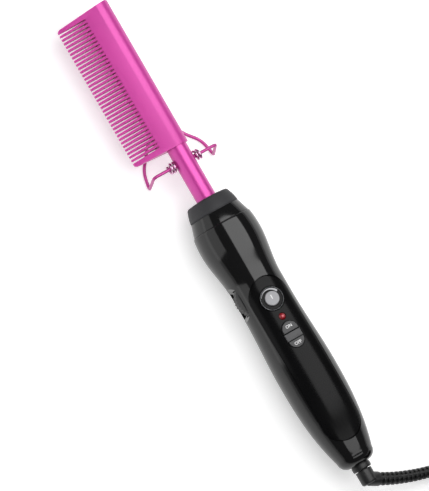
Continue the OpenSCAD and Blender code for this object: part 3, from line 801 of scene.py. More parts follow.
PAINT = linear(214, 66, 166)
COMB_PAINT = Finish("comb_paint", PAINT, roughness=0.36, metallic=0.25, coat=0.2,
                    coat_roughness=0.2, grain=5200, bump=0.12, mottle=0.05, scuffs=0.05)
NECK_PAINT = Finish("neck_paint", PAINT, roughness=0.32, metallic=0.35, coat=0.3,
                    coat_roughness=0.2, grain=5200, bump=0.08, mottle=0.05, scuffs=0.06)
STAND_PAINT = Finish("stand_paint", linear(196, 62, 150), roughness=0.34, metallic=0.45,
                     coat=0.3, coat_roughness=0.2, grain=4200, bump=0.2)
GLOSS_BLACK = Finish("gloss_black", linear(8, 8, 9), roughness=0.1, grain=700,
                     depth=0.01 * MM, bump=0.05, rough_spread=0.05, scuffs=0.06, dust=0.012)
PANEL_BLACK = Finish("panel_black", linear(8, 8, 9), roughness=0.2, specular=0.13, grain=900,
                     depth=0.01 * MM, bump=0.05, rough_spread=0.05, scuffs=0.05, dust=0.012)
NOSE_GREY = Finish("nose_grey", linear(42, 42, 45), roughness=0.6, grain=2600, bump=0.3,
                   mottle=0.1)
SOFT_BLACK = Finish("soft_black", linear(17, 17, 18), roughness=0.4, grain=3200, bump=0.25,
                    mottle=0.1)
CORD_RUBBER = Finish("cord_rubber", linear(27, 27, 28), roughness=0.48, grain=2600, bump=0.3,
                     mottle=0.12, scuffs=0.2)
KEY_BLACK = Finish("key_black", linear(40, 40, 42), roughness=0.32, grain=3000, bump=0.15)
BAR_GREY = Finish("bar_grey", linear(62, 62, 64), roughness=0.42, grain=3000, bump=0.2)
DIAL_SILVER = Turned("dial_silver", linear(158, 158, 161), roughness=0.45, metallic=0.12,
                     depth=0.006 * MM, bump=0.2)
RING_CHROME = Finish("ring_chrome", linear(120, 121, 124), roughness=0.3, metallic=1.0)
CRESCENT_GREY = Finish("crescent_grey", linear(176, 177, 180), roughness=0.35)
PRINT_WHITE = Finish("print_white", linear(232, 232, 232), roughness=0.45, grain=4000, bump=0.1)
LAMP_RED = LampLens("lamp_red", linear(128, 8, 20), roughness=0.12, coat=0.5, bump=0.02)
# Polished steel; the pink in its colour is a painted reflection of the magenta paint round the
# springs.
SPRING_STEEL_PINK_REFLECTION = Finish("spring_steel", linear(215, 172, 200), roughness=0.16, metallic=1.0,
                      grain=3000, bump=0.1, mottle=0.25)
STEEL = Finish("steel", linear(165, 166, 168), roughness=0.3, metallic=1.0, mottle=0.15)
BLADE_METAL = Finish("blade_metal", linear(190, 186, 176), roughness=0.26, metallic=1.0,
                     mottle=0.1, scuffs=0.5)
BRASS = Finish("brass", linear(190, 150, 70), roughness=0.32, metallic=1.0, mottle=0.15)
CERAMIC = Finish("ceramic", linear(226, 220, 205), roughness=0.6, grain=1800, bump=0.3)
HEATER_GREY = Finish("heater_grey", linear(92, 92, 90), roughness=0.5, metallic=0.7)
WIRE_SKIN = Finish("wire_skin", linear(205, 200, 190), roughness=0.45)
BOARD_GREEN = Finish("board_green", linear(24, 86, 46), roughness=0.38, coat=0.3, grain=1400,
                     mottle=0.2)
WHEEL_RUBBER = Finish("wheel_rubber", linear(22, 22, 23), roughness=0.5, grain=3000, bump=0.3)
TIE_WEAVE = Woven("tie_weave", linear(38, 38, 40), roughness=0.85, sheen=0.4, depth=0.1 * MM,
                  bump=0.6, mottle=0.2)


def dress(piece: bpy.types.Object, finish: Finish) -> None:
    """Gives a piece its finish, in every material slot."""
    material = finish.material()
    if not piece.data.materials:
        piece.data.materials.append(material)
    for slot in piece.material_slots:
        slot.material = material


def fit_piece(piece: bpy.types.Object, finish: Finish, body: Body, *nodes: str) -> None:
    """Dresses a piece and makes it ride on its body.

    Args:
        piece: The piece, in place.
        finish: Its finish.
        body: The body it moves with.
        *nodes: The model's nodes that it stands for.
    """
    dress(piece, finish)
    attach(piece, body.value)
    if nodes:
        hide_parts(*nodes)
    LOG.info("%s on %s, for %s", piece.name, body.value, ", ".join(nodes) or "nothing else")


# ---- Sub-assemblies ----


@dataclass(frozen=True)
class HandleForm:
    """The round of the handle, from the crease in front of the bulge to its end."""

    bulge_r: float = 19.15 * MM
    bulge_fall: float = 0.86 * MM
    waist_r: float = 16.0 * MM
    grip_r: float = 17.6 * MM
    waist_x: float = 29.0 * MM
    waist_end: float = 41.6 * MM
    grip_x: float = 86.6 * MM
    tail_round: float = 6.0 * MM
    tail_drop: float = 6.2 * MM
    tail_power: float = 2.6
    wall: float = 2.2 * MM
    cavity_end: float = 8.6 * MM

    @property
    def tail_start(self) -> float:
        """Distance back from the bulge to where the end's rounding starts."""
        return -TAIL_X - self.tail_round

    def radius(self, x: float) -> float:
        """Radius of the handle at a place along the axis."""
        def ease(t: float) -> float:
            return t * t * (3 - 2 * t)
        back = -x
        if x >= 0:
            return self.bulge_r - self.bulge_fall * (x / CREASE_X) ** 2
        if back < self.waist_x:
            return self.bulge_r - (self.bulge_r - self.waist_r) * ease(back / self.waist_x)
        if back < self.waist_end:
            return self.waist_r
        if back < self.grip_x:
            rise = ease((back - self.waist_end) / (self.grip_x - self.waist_end))
            return self.waist_r + (self.grip_r - self.waist_r) * rise
        fall = (back - self.grip_x) / (self.tail_start - self.grip_x)
        return self.grip_r - self.tail_drop * fall ** self.tail_power

    def skin(self, grow: float = 0.0, steps: int = 130) -> list[Point2]:
        """Outer points of (X, radius), from the crease to the flat end.

        Args:
            grow: How far the skin is drawn out.
            steps: Segments along it.

        Returns:
            The points.
        """
        length = CREASE_X + self.tail_start
        line = [(CREASE_X - length * i / steps, self.radius(CREASE_X - length * i / steps) + grow)
                for i in range(steps)]
        corner = (-self.tail_start, self.grip_r - self.tail_drop - self.tail_round + grow)
        return line + arc(corner, self.tail_round, 90, 180, 14)

    def hollow(self, steps: int = 60) -> list[Point2]:
        """Inner points of (X, radius), from the end to the front."""
        start, stop = -self.tail_start + 2 * MM, CREASE_X - self.wall
        return [(start + (stop - start) * i / steps,
                 self.radius(start + (stop - start) * i / steps) - self.wall)
                for i in range(steps + 1)]

    def panel_drop(self, x: float, y: float) -> float:
        """Height above the axis of the panel's face, which is flatter than the shell."""
        crown, sunk = 2.5 * MM, 3.5 * MM
        return math.sqrt((self.radius(x) + crown) ** 2 - y * y) - sunk


FORM = HandleForm()


@dataclass
class MainsLead:
    """The cord with its strain relief, stored coil, tie and plug."""

    cord_r: float = 2.7 * MM
    boot_r: float = 3.9 * MM
    boot_end_r: float = 3.3 * MM
    elbow_x: float = -156.0 * MM
    boot_from: float = 6.5 * MM
    boot_len: float = 45.0 * MM
    boot_root: float = 0.8 * MM
    boot_tip: float = 2.0 * MM
    boot_pitch: float = 2.95 * MM
    groove: float = 0.9 * MM
    bend_r: float = 136.4 * MM
    leave: float = math.radians(61)
    roll: float = math.radians(15)
    coil_r: float = 36.0 * MM
    pitch: float = 5.95 * MM
    low: float = 3.7 * MM
    layers: int = 4
    layer_turns: float = 2.25
    middle: Point2 = (-209.0 * MM, -69.0 * MM)
    run: tuple[Sequence[float], ...] = (
        (-172.6, -51.8, 4.75), (-172.9, -56.2, 4), (-173, -60, 3.72))
    tail: tuple[Sequence[float], ...] = (
        (-173.4, -80, 22.2), (-175.8, -86.5, 23.8), (-180.5, -92, 26), (-186.5, -96, 28.2),
        (-193.5, -98.2, 30), (-201, -98.2, 31.2), (-208.5, -96, 31.8), (-214.5, -91.4, 32),
        (-218.8, -85, 32), (-221, -78, 32))
    plug_turn: float = math.radians(107)
    tie_turn: float = math.radians(60)

    def boot_point(self, along: float) -> Vector:
        """Place on the strain relief's middle line, at a distance from the elbow."""
        turn = self.leave + along / self.bend_r
        out = (math.cos(self.leave) - math.cos(turn)) * self.bend_r
        return Vector((self.elbow_x - (math.sin(turn) - math.sin(self.leave)) * self.bend_r,
                       -out * math.cos(self.roll), AXIS_H - out * math.sin(self.roll)))

    def coil_point(self, turn: float) -> Vector:
        """Place on the coil after a number of turns, clockwise seen from above."""
        cycle = turn % (2 * self.layer_turns)
        inward = min(cycle, 2 * self.layer_turns - cycle)
        step = round(turn / self.layer_turns)
        near = turn - step * self.layer_turns
        if not 0 < step < self.layers:
            layer = 0.0 if step < 1 else self.layers - 1.0
        elif abs(near) > 0.25:
            layer = step - 1.0 if near < 0 else float(step)
        else:
            t = (near + 0.25) / 0.5
            layer = step - 1 + t * t * (3 - 2 * t)
        radius, angle = self.coil_r - self.pitch * inward, math.tau * turn
        return Vector((self.middle[0] + radius * math.cos(angle),
                       self.middle[1] - radius * math.sin(angle), self.low + self.pitch * layer))

    def route(self) -> list[Vector]:
        """The cord's middle line, from the strain relief to the plug."""
        turns, lead = self.layers * self.layer_turns, Vector((0, 2 * self.cord_r, 0))
        end = self.boot_from + self.boot_len
        start = [self.boot_point(end - 1 * MM), self.boot_point(end)]
        run = [Vector(point) * MM for point in self.run]
        coil = [self.coil_point(i / 40) for i in range(int(turns * 40) + 1)]
        tail = [Vector(point) * MM for point in self.tail]
        into = smooth_path([*start, *run, coil[0] + lead, coil[0]], 6)[6:-1]
        out = smooth_path([coil[-1], coil[-1] - lead, *tail], 6)[1:]
        return into + coil + out

    def build(self) -> None:
        """Makes the cord first, then what it carries."""
        line = self.route()
        cord = round_line("cord", line, self.cord_r, 5)
        fit_piece(cord, CORD_RUBBER, Body.SWIVEL, "cord_run", "cord_coil", "cord_tail")
        tie, plug = self.tie(), self.plug()
        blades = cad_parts["plug_blades"]
        dress(blades, BLADE_METAL)
        self.boot()
        self.swivel()

    def across(self, along: float) -> Matrix:
        """Frame on the strain relief, with X along it and Z away from the floor."""
        step = 0.1 * MM
        ahead = (self.boot_point(along + step) - self.boot_point(along)).normalized()
        side = Vector((0, math.sin(self.roll), -math.cos(self.roll))).cross(ahead)
        up = ahead.cross(side).normalized()
        if up.z < 0:
            up = -up
        side = up.cross(ahead)
        turn = Matrix((ahead, side, up)).transposed().to_4x4()
        return Matrix.Translation(self.boot_point(along)) @ turn

    def boot(self) -> None:
        """The strain relief: a core, its ribs, and a spine above and below that links them."""
        ribs = int((self.boot_len - self.boot_root - self.boot_tip) / self.boot_pitch)
        solids = []
        for i in range(-1, ribs + 1):
            start = self.boot_root + (i + 0.5) * self.boot_pitch
            width = self.boot_pitch / 2
            if i < 0:
                start, width = 0.0, self.boot_root
            if i == ribs:
                start, width = self.boot_root + ribs * self.boot_pitch, self.boot_tip
            radius = self.boot_r - (self.boot_r - self.boot_end_r) * start / self.boot_len
            rib = round_edges(drum(radius, width, 40), 0.25 * MM, 60, 3)
            middle = self.boot_from + start + width / 2
            move(rib, self.across(middle))
            solids.append(rib)
        reach = [self.boot_from + self.boot_len * i / 40 for i in range(41)]
        solids.append(wire([self.boot_point(s) for s in reach], self.boot_end_r - self.groove, 6))
        for side in (-1, 1):
            spine = [self.across(s) @ Vector((0, 0, side * (self.boot_r - 0.88 * MM - (
                self.boot_r - self.boot_end_r) * (s - self.boot_from) / self.boot_len)))
                for s in reach]
            solids.append(wire(spine, 1.0 * MM, 4))
        fit_piece(to_piece("strain_relief_ribs", join(*solids)), SOFT_BLACK, Body.SWIVEL,
                  "strain_relief")

    def swivel(self) -> None:
        """The turning swivel with its slanting neck."""
        low, high = -159.1 * MM, -150.4 * MM
        round_r = 4.9 * MM
        flange, front = -135.7 * MM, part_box("swivel_body")[1].x
        section = [(front, 0.0), (front, 2.2 * MM), (flange + 1.5 * MM, 2.2 * MM),
                   (flange + 1.5 * MM, 4.8 * MM), (flange, 4.8 * MM), (flange, 3.2 * MM),
                   (high, 3.2 * MM),
                   *arc((high - 0.4 * MM, round_r - 0.4 * MM), 0.4 * MM, 0, 90, 4),
                   *arc((low + 1.6 * MM, round_r - 1.6 * MM), 1.6 * MM, 90, 180, 8), (low, 0.0)]
        body = lathe(section, 72)
        neck = round_edges(drum(self.boot_r + 0.3 * MM, self.boot_from, 48), 0.4 * MM, 60, 4)
        move(neck, self.across(self.boot_from / 2))
        piece = to_piece("swivel_joint", body)
        carve(piece, neck, Cut.JOIN)
        piece = to_piece("swivel_joint", solid_of(piece))
        fit_piece(piece, SOFT_BLACK, Body.SWIVEL, "swivel_body")

    def tie(self) -> bpy.types.Object:
        """The flat tie round all the turns."""
        thick, width, air = 0.7 * MM, 9.0 * MM, 0.3 * MM
        inner = self.coil_r - self.pitch * self.layer_turns - self.cord_r - air
        outer = self.coil_r + self.cord_r + air
        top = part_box("coil_tie")[1].z - thick

        def frame_line(grow: float, corner: float) -> list[Point2]:
            low, high, near, far = -grow, top + grow, inner - grow, outer + grow
            return (arc((far - corner, high - corner), corner, 0, 90, 6)
                    + arc((near + corner, high - corner), corner, 90, 180, 6)
                    + arc((near + corner, low + corner), corner, 180, 270, 6)
                    + arc((far - corner, low + corner), corner, 270, 360, 6))
        bm = bmesh.new()
        loops = []
        for line in (frame_line(0.0, 1.2 * MM), frame_line(thick, 1.9 * MM)):
            knots = [bm.verts.new((x, -width / 2, z + thick)) for x, z in line]
            loops.append([bm.edges.new(pair) for pair in zip(knots, knots[1:] + knots[:1])])
        bmesh.ops.bridge_loops(bm, edges=loops[0] + loops[1])
        draw_out(bm, bm.faces[:], (0, width, 0))
        face_out(bm)
        round_edges(bm, 0.15 * MM, 60, 2)
        place = Matrix.Translation((*self.middle, 0.0)) @ Matrix.Rotation(self.tie_turn, 4, "Z")
        move(bm, place)
        tie = to_piece("cord_tie", bm)
        fit_piece(tie, TIE_WEAVE, Body.SWIVEL, "coil_tie")
        return tie

    def plug(self) -> bpy.types.Object:
        """The plug's moulded body with its ribbed relief."""
        relief, length, wide, thick = 20.0 * MM, 28.0 * MM, 24.0 * MM, 15.0 * MM
        outline = [(0.0, -wide / 4), (length * 0.45, -wide / 2), (length, -wide / 2),
                   (length, wide / 2), (length * 0.45, wide / 2), (0.0, wide / 4)]
        body = plate([(x + relief, y) for x, y in outline], -thick / 2, thick / 2)
        round_edges(body, 2.6 * MM, 20, 5)
        solids = [body]
        for i in range(6):
            start = relief * i / 6
            radius = self.cord_r + 0.6 * MM + 1.5 * MM * i / 6
            ring = drum(radius, 2.2 * MM, 36, start + 1.1 * MM, 0.15 * MM)
            solids.append(round_edges(ring, 0.3 * MM, 60, 3))
        solids.append(wire([Vector((0.2 * MM, 0, 0)), Vector((relief + 1 * MM, 0, 0))],
                           self.cord_r + 0.3 * MM, 6))
        start = Vector(self.tail[-1]) * MM
        place = Matrix.Translation(start) @ Matrix.Rotation(self.plug_turn, 4, "Z")
        whole = join(*solids)
        move(whole, place)
        plug = to_piece("plug_moulding", whole)
        fit_piece(plug, SOFT_BLACK, Body.SWIVEL, "plug_body")
        return plug


@dataclass
class CombHead:
    """The painted comb head and the neck tube it sits on."""

    length: float = 91.56 * MM
    spine_r: float = 7.4 * MM
    reach: float = 27.4 * MM
    tip_r: float = 1.5 * MM
    corner_r: float = 2.0 * MM
    dome_h: float = 1.4 * MM
    front_slant: float = 2.55 * MM
    slant_ahead: float = 0.69
    spare: float = 2 * MM
    back_slant: float = 0.9 * MM
    end_round: float = 2.2 * MM
    slot_slant: float = 0.5 * MM
    teeth: int = 36
    pitch: float = 2.335 * MM
    slot_w: float = 0.95 * MM
    slot_flare: float = 0.15 * MM
    tooth_len: float = 17.1 * MM
    guard_low: float = 3.9 * MM
    first_slot: float = 0.55 * MM
    neck_r: float = 6.1 * MM
    neck_wall: float = 0.9 * MM
    edge: float = 0.16 * MM

    def section(self) -> list[Point2]:
        """The comb's section as (Y, height above the axis)."""
        lean = math.degrees(math.asin((self.spine_r - self.tip_r) / (self.reach - self.tip_r)))
        return (arc((0.0, 0.0), self.spine_r, 90 - lean, 270 + lean, 48)
                + arc((self.reach - self.tip_r, 0.0), self.tip_r, lean - 90, 90 - lean, 10))

    def wedge(self) -> bmesh.types.BMesh:
        """The solid head before its slots are cut."""
        bm = bmesh.new()
        base = bm.faces.new([bm.verts.new((COMB_X, y, AXIS_H + n)) for y, n in self.section()])
        draw_out(bm, [base], (self.length + self.spare, 0, 0))
        return face_out(bm)

    def front(self) -> bmesh.types.BMesh:
        """The head's outline seen from the front, as a thick plate."""
        end, corner, low = COMB_X + self.length, self.corner_r, -self.spine_r - 0.1 * MM
        high = end + self.slant_ahead * self.front_slant
        outline = [(COMB_X, 0.002), (COMB_X, low)]
        outline += arc((high - self.end_round, low + self.end_round), self.end_round, -90, 0, 8)
        for x, turn in ((high - self.front_slant - corner, 0),
                        (COMB_X + self.back_slant + corner, 90)):
            outline += arc((x, self.reach - corner), corner, turn, turn + 90, 8)
        return plate(outline, 0.0, 2 * AXIS_H)

    def slots(self) -> bmesh.types.BMesh:
        """The solids that part the teeth, each a little wider at the tips."""
        root, out = self.reach - self.tooth_len, self.reach + 1 * MM
        half, wide = self.slot_w / 2, (self.slot_w + self.slot_flare) / 2
        start = COMB_X + self.guard_low + self.first_slot
        cuts = []
        for i in range(self.teeth + 1):
            x = start + i * self.pitch
            tip = x - self.slot_slant
            cuts.append(plate([(x - half, root), (x + half, root), (tip + wide, out),
                               (tip - wide, out)], 0.0, 2 * AXIS_H))
        return join(*cuts)

    def build(self) -> None:
        """Makes the head, the dome on its end and the neck tube."""
        head = to_piece("comb", self.wedge())
        carve(head, self.front(), Cut.KEEP)
        carve(head, self.slots())
        bore = lathe([(COMB_X - 1 * MM, 0.0), (COMB_X - 1 * MM, self.neck_r + 0.1 * MM),
                      (NECK_FRONT_X, self.neck_r + 0.1 * MM), (NECK_FRONT_X, 0.0)], 64)
        carve(head, bore)
        solid = round_edges(solid_of(head), self.edge, 38, 2,
                            lambda p: p.x < COMB_X + self.length - 1 * MM or p.y > 3 * MM)
        end, dome_r = COMB_X + self.length, self.spine_r - 1 * MM
        dome = lathe([(end - 1 * MM, 0.0), (end - 1 * MM, dome_r), (end, dome_r)]
                     + [(end + self.dome_h * math.sin(math.radians(a)),
                         dome_r * math.cos(math.radians(a))) for a in range(9, 91, 9)], 64)
        fit_piece(to_piece("comb", join(solid, dome)), COMB_PAINT, Body.HANDLE, "comb_head")
        inner = self.neck_r - self.neck_wall
        tube = lathe([(NECK_BACK_X, inner), (NECK_BACK_X, self.neck_r),
                      (NECK_FRONT_X, self.neck_r), (NECK_FRONT_X, inner)], 96, closed=True)
        tube = slice_across(tube, 0, [COMB_X + i * 0.008 for i in range(-6, 2)])
        fit_piece(to_piece("neck", tube), NECK_PAINT, Body.HANDLE, "neck_tube")


@dataclass
class Stand:
    """The folding wire stand and the springs on its pivot."""

    wire_r: float = 0.95 * MM
    leg_y: float = 20.7
    foot_y: float = 21.6
    foot_back: float = 3.0
    loop_r: float = 15.0
    loop_mid: float = 8.0
    pin_r: float = 1.2 * MM
    pin_in: float = 4.9 * MM
    pin_out: float = 10.4 * MM
    spring_r: float = 2.65 * MM
    spring_wire: float = 0.75 * MM
    spring_turns: float = 1.9
    spring_pitch: float = 1.8 * MM
    spring_y: float = 7.0 * MM

    def half(self) -> list[Vector]:
        """Half of the wire's middle line in millimetres, from the pivot to the loop's front."""
        floor = (self.wire_r / MM) - AXIS_H / MM
        back, leg, foot = self.foot_back, self.leg_y, self.foot_y
        points = [(0, 9.4, 0), (0, 15, 0), (0, leg - 1.9, 0), (-0.2, leg - 0.5, -0.6),
                  (-0.4, leg + 0.1, -2.2), (-back + 0.4, foot - 0.1, floor + 3),
                  (-back + 0.2, foot, floor + 1.1), (-back + 1.1, foot - 0.1, floor + 0.1),
                  (-back + 3, foot - 0.4, floor), (5.4, leg - 0.8, floor),
                  (9.2, leg - 2.7, floor), (12.4, leg - 5.3, floor)]
        points += [(x, y, floor) for x, y in arc((self.loop_mid, 0.0), self.loop_r, 62, 0, 6)]
        return [Vector(point) for point in points]

    def build(self) -> None:
        """Makes the wire with its pins, and both springs."""
        half = self.half()
        whole = half + [Vector((p.x, -p.y, p.z)) for p in reversed(half[:-1])]
        pivot = Vector((PIVOT_X, 0, AXIS_H))
        line = [pivot + point * MM for point in smooth_path(whole, 5)]
        solids = [wire(line, self.wire_r, 6)]
        for side in (-1, 1):
            section = [(self.pin_in, 0.0), (self.pin_in, self.pin_r),
                       (self.pin_out - 0.3 * MM, self.pin_r), (self.pin_out, self.wire_r),
                       (self.pin_out, 0.0)]
            pin = lathe([(x, r) for x, r in section], 40, middle=(0.0, -AXIS_H))
            turn = Matrix.Translation(pivot) @ Matrix.Rotation(side * math.pi / 2, 4, "Z")
            move(pin, turn)
            solids.append(pin)
        fit_piece(to_piece("stand_bow", join(*solids)), STAND_PAINT, Body.STAND, "stand_wire")
        springs = []
        for side in (-1, 1):
            steps = int(self.spring_turns * 24)
            line = []
            for i in range(steps + 1):
                a = math.tau * i / 24
                line.append(pivot + Vector((self.spring_r * math.cos(a),
                                            side * (self.spring_y + self.spring_pitch * i / 24),
                                            self.spring_r * math.sin(a))))
            springs.append(wire(line, self.spring_wire, 5))
        fit_piece(to_piece("pivot_springs", join(*springs)), SPRING_STEEL_PINK_REFLECTION, Body.HANDLE,
                  "stand_springs")


@dataclass
class Housing:
    """The handle's shells, with the nose cap, the collar ring and the screws."""

    steps: int = 144
    gap: float = 0.3 * MM
    spigot_r: float = 13.0 * MM
    collar_r: float = 17.85 * MM
    collar_top_r: float = 15.4 * MM
    nose_r: float = 13.4 * MM
    scoop_r: float = 15.8 * MM
    scoop_place: Point2 = (-34.5 * MM, 27.8 * MM)
    scoop_low: float = 7.0 * MM
    scoop_top: float = 7.3 * MM
    wheel_place: Point2 = (-34.5 * MM, 5.7 * MM)
    wheel_r: float = 11.5 * MM
    panel_ends: Point2 = (-27.0 * MM, -131.7 * MM)
    panel_w: float = 24.0 * MM
    ledge: float = 1.8 * MM
    screws: tuple[Point2, ...] = ((-10, 12), (-10, -12), (-95, 11), (-95, -11))

    def body(self) -> bmesh.types.BMesh:
        """Both shells as one solid wall, with the spigot in front."""
        wall = FORM.wall
        section = [(NOSE_X, 6.2 * MM), (NOSE_X, self.spigot_r), (CREASE_X, self.spigot_r),
                   (CREASE_X, FORM.radius(CREASE_X) - 0.4 * MM)]
        section += arc((CREASE_X - 0.4 * MM, FORM.radius(CREASE_X) - 0.4 * MM), 0.4 * MM, 0, 80, 4)
        section += [point for point in FORM.skin(steps=150) if point[0] < CREASE_X - 0.5 * MM]
        section += [(TAIL_X, 4.6 * MM), (-FORM.tail_start - FORM.tail_round + FORM.cavity_end,
                                         4.6 * MM)]
        section += FORM.hollow()
        section += [(CREASE_X - wall, self.spigot_r - wall), (NOSE_X - wall, self.spigot_r - wall),
                    (NOSE_X - wall, 6.2 * MM)]
        return lathe(section, self.steps, closed=True)

    def panel_seat(self) -> bmesh.types.BMesh:
        """The solid that cuts the recess for the control panel, down to its ledge."""
        depth = 1.7 * MM
        front, back = self.panel_ends
        seat = plate(stadium(front + 0.1 * MM, back - 0.1 * MM, self.panel_w / 2 + 0.1 * MM, 48),
                     -depth, 10 * MM)
        low, high = back - 1 * MM, front + 1 * MM
        seat = slice_across(seat, 0, [low + (high - low) * i / 70 for i in range(71)])
        seat = slice_across(seat, 1, [i * 1.5 * MM for i in range(-8, 9)])
        for knot in seat.verts:
            knot.co.z += AXIS_H + FORM.panel_drop(knot.co.x, knot.co.y)
        return seat

    def shell(self, name: str, top: bool) -> bpy.types.Object:
        """One shell, cut at the axis, with the openings it has.

        Args:
            name: Name of the piece.
            top: Whether it is the shell with the controls.

        Returns:
            The piece.
        """
        side = 1 if top else -1
        half = keep_side(self.body(), (0, 0, AXIS_H), (0, 0, side))
        round_edges(half, 0.12 * MM, 60, 2, lambda p: abs(p.z - AXIS_H) < 1e-6
                    and math.hypot(p.y, p.z - AXIS_H) > FORM.radius(min(p.x, CREASE_X)) - 1 * MM)
        piece = to_piece(name, half)
        (sx, sy), (wx, wy) = self.scoop_place, self.wheel_place
        scoop = disc(sx, sy, self.scoop_r, AXIS_H - self.scoop_low, AXIS_H + self.scoop_top, 160)
        if top:
            carve(piece, scoop)
            carve(piece, disc(wx, wy, self.wheel_r + 2 * self.gap, AXIS_H - 1 * MM,
                              AXIS_H + self.scoop_top, 96))
            carve(piece, self.panel_seat())
            front, back = self.panel_ends
            carve(piece, plate(stadium(front - self.ledge, back + self.ledge,
                                       self.panel_w / 2 - self.ledge), AXIS_H + 1 * MM, 0.06))
            return piece
        cup = to_piece("cup", disc(sx, sy, self.scoop_r + FORM.wall,
                                   AXIS_H - self.scoop_low - FORM.wall, AXIS_H, 160))
        carve(cup, lathe([(CREASE_X, 0.0)] + FORM.skin(-FORM.wall / 2, 90) + [(TAIL_X, 0.0)], 96),
              Cut.KEEP)
        carve(piece, solid_of(cup), Cut.JOIN)
        carve(piece, scoop)
        bosses, holes = [], []
        for x, y in self.screws:
            bosses.append(disc(x * MM, y * MM, 3.8 * MM, 3 * MM, AXIS_H, 40))
            holes.append(disc(x * MM, y * MM, 2.9 * MM, -5 * MM, AXIS_H - 7.2 * MM, 40))
            holes.append(disc(x * MM, y * MM, 1.4 * MM, -5 * MM, AXIS_H + 1 * MM, 32))
        stubs = to_piece("stubs", join(*bosses))
        carve(stubs, lathe([(CREASE_X, 0.0)] + FORM.skin(-FORM.wall / 2, 90) + [(TAIL_X, 0.0)],
                           96), Cut.KEEP)
        carve(piece, solid_of(stubs), Cut.JOIN)
        carve(piece, join(*holes[0::2]))
        carve(piece, join(*holes[1::2]))
        carve(piece, block((-0.2, -0.05, -0.01), (0.05, 0.05, 0.0)))
        return piece

    def screw(self, x: float, y: float) -> bmesh.types.BMesh:
        """One cross-head screw, its head downwards."""
        head, low = 2.6 * MM, AXIS_H - 9.0 * MM
        bm = disc(x, y, head, low, low + 1.8 * MM, 40)
        round_edges(bm, 0.4 * MM, 60, 3, lambda p: p.z < low + 0.5 * MM)
        piece = to_piece("screw", bm)
        for turn in (0.0, math.pi / 2):
            slot = block((-1.5 * MM, -0.3 * MM, -1 * MM), (1.5 * MM, 0.3 * MM, 0.9 * MM))
            place = Matrix.Translation((x, y, low)) @ Matrix.Rotation(turn + 0.4, 4, "Z")
            move(slot, place)
            carve(piece, slot)
        shank = disc(x, y, 1.3 * MM, low + 1.7 * MM, AXIS_H + 6 * MM, 32)
        return join(solid_of(piece), shank)

    def build(self) -> None:
        """Makes the shells, the ring, the cap, the screws and the tail collar."""
        fit_piece(self.shell("shell_front", True), GLOSS_BLACK, Body.HANDLE, "front_shell")
        fit_piece(self.shell("shell_back", False), GLOSS_BLACK, Body.HANDLE, "back_shell")
        ring = [(CREASE_X, self.spigot_r + 0.1 * MM), (CREASE_X, self.collar_r - 0.3 * MM),
                *arc((CREASE_X + 0.35 * MM, self.collar_r - 0.42 * MM), 0.3 * MM, 160, 72, 4),
                (NOSE_X - 0.3 * MM, self.collar_top_r + 0.1 * MM), (NOSE_X, self.collar_top_r),
                (NOSE_X, self.spigot_r + 0.1 * MM)]
        fit_piece(to_piece("collar", lathe(ring, self.steps, closed=True)), GLOSS_BLACK,
                  Body.HANDLE, "collar_ring")
        fit_piece(to_piece("nose", self.nose()), NOSE_GREY, Body.HANDLE, "nose_cap")
        screws = join(*[self.screw(x * MM, y * MM) for x, y in self.screws])
        fit_piece(to_piece("case_screws", screws), STEEL, Body.HANDLE, "shell_screws")
        fit_piece(to_piece("end_collar", self.tail_collar()), SOFT_BLACK, Body.HANDLE,
                  "tail_collar")

    def nose(self) -> bmesh.types.BMesh:
        """The matte cap, with a thin groove where it meets the ring."""
        base, top, out = NOSE_X, NOSE_TOP_X, self.collar_top_r
        shoulder = top - 1.7 * MM
        section = [(base, self.spigot_r), (base, out - 0.5 * MM),
                   (base + 0.45 * MM, out - 0.5 * MM),
                   (base + 0.5 * MM, out - 0.2 * MM), (base + 0.65 * MM, out - 0.08 * MM),
                   (base + 2.0 * MM, out - 0.3 * MM), (base + 3.8 * MM, out - 0.7 * MM),
                   (base + 5.2 * MM, out - 1.12 * MM)]
        section += arc((shoulder - 0.5 * MM, self.nose_r - 1.6 * MM), 1.6 * MM, 74, 16, 10)
        section += [(shoulder + 1.25 * MM, self.nose_r * 0.78),
                    (top - 0.1 * MM, self.nose_r * 0.6),
                    (top, 6.2 * MM), (base + 4.5 * MM, 6.2 * MM), (base + 4.5 * MM, self.spigot_r)]
        return lathe(section, self.steps, closed=True)

    def tail_collar(self) -> bmesh.types.BMesh:
        """The collar at the handle's end, in which the swivel turns."""
        out, bore, end = 5.7 * MM, 3.3 * MM, TAIL_X - 3.5 * MM
        section = [(end, bore), (end, out - 1.0 * MM),
                   *arc((end + 0.9 * MM, out - 0.9 * MM), 0.9 * MM, 180, 90, 6),
                   (TAIL_X - 0.5 * MM, out), (TAIL_X - 0.3 * MM, out - 0.35 * MM), (TAIL_X, out
                   - 0.35 * MM), (TAIL_X, out - 1.2 * MM), (TAIL_X + 8.6 * MM, out - 1.2 * MM),
                   (TAIL_X + 8.6 * MM, out + 1.3 * MM), (TAIL_X + 10.6 * MM, out + 1.3 * MM),
                   (TAIL_X + 10.6 * MM, bore)]
        return lathe(section, 96, closed=True)


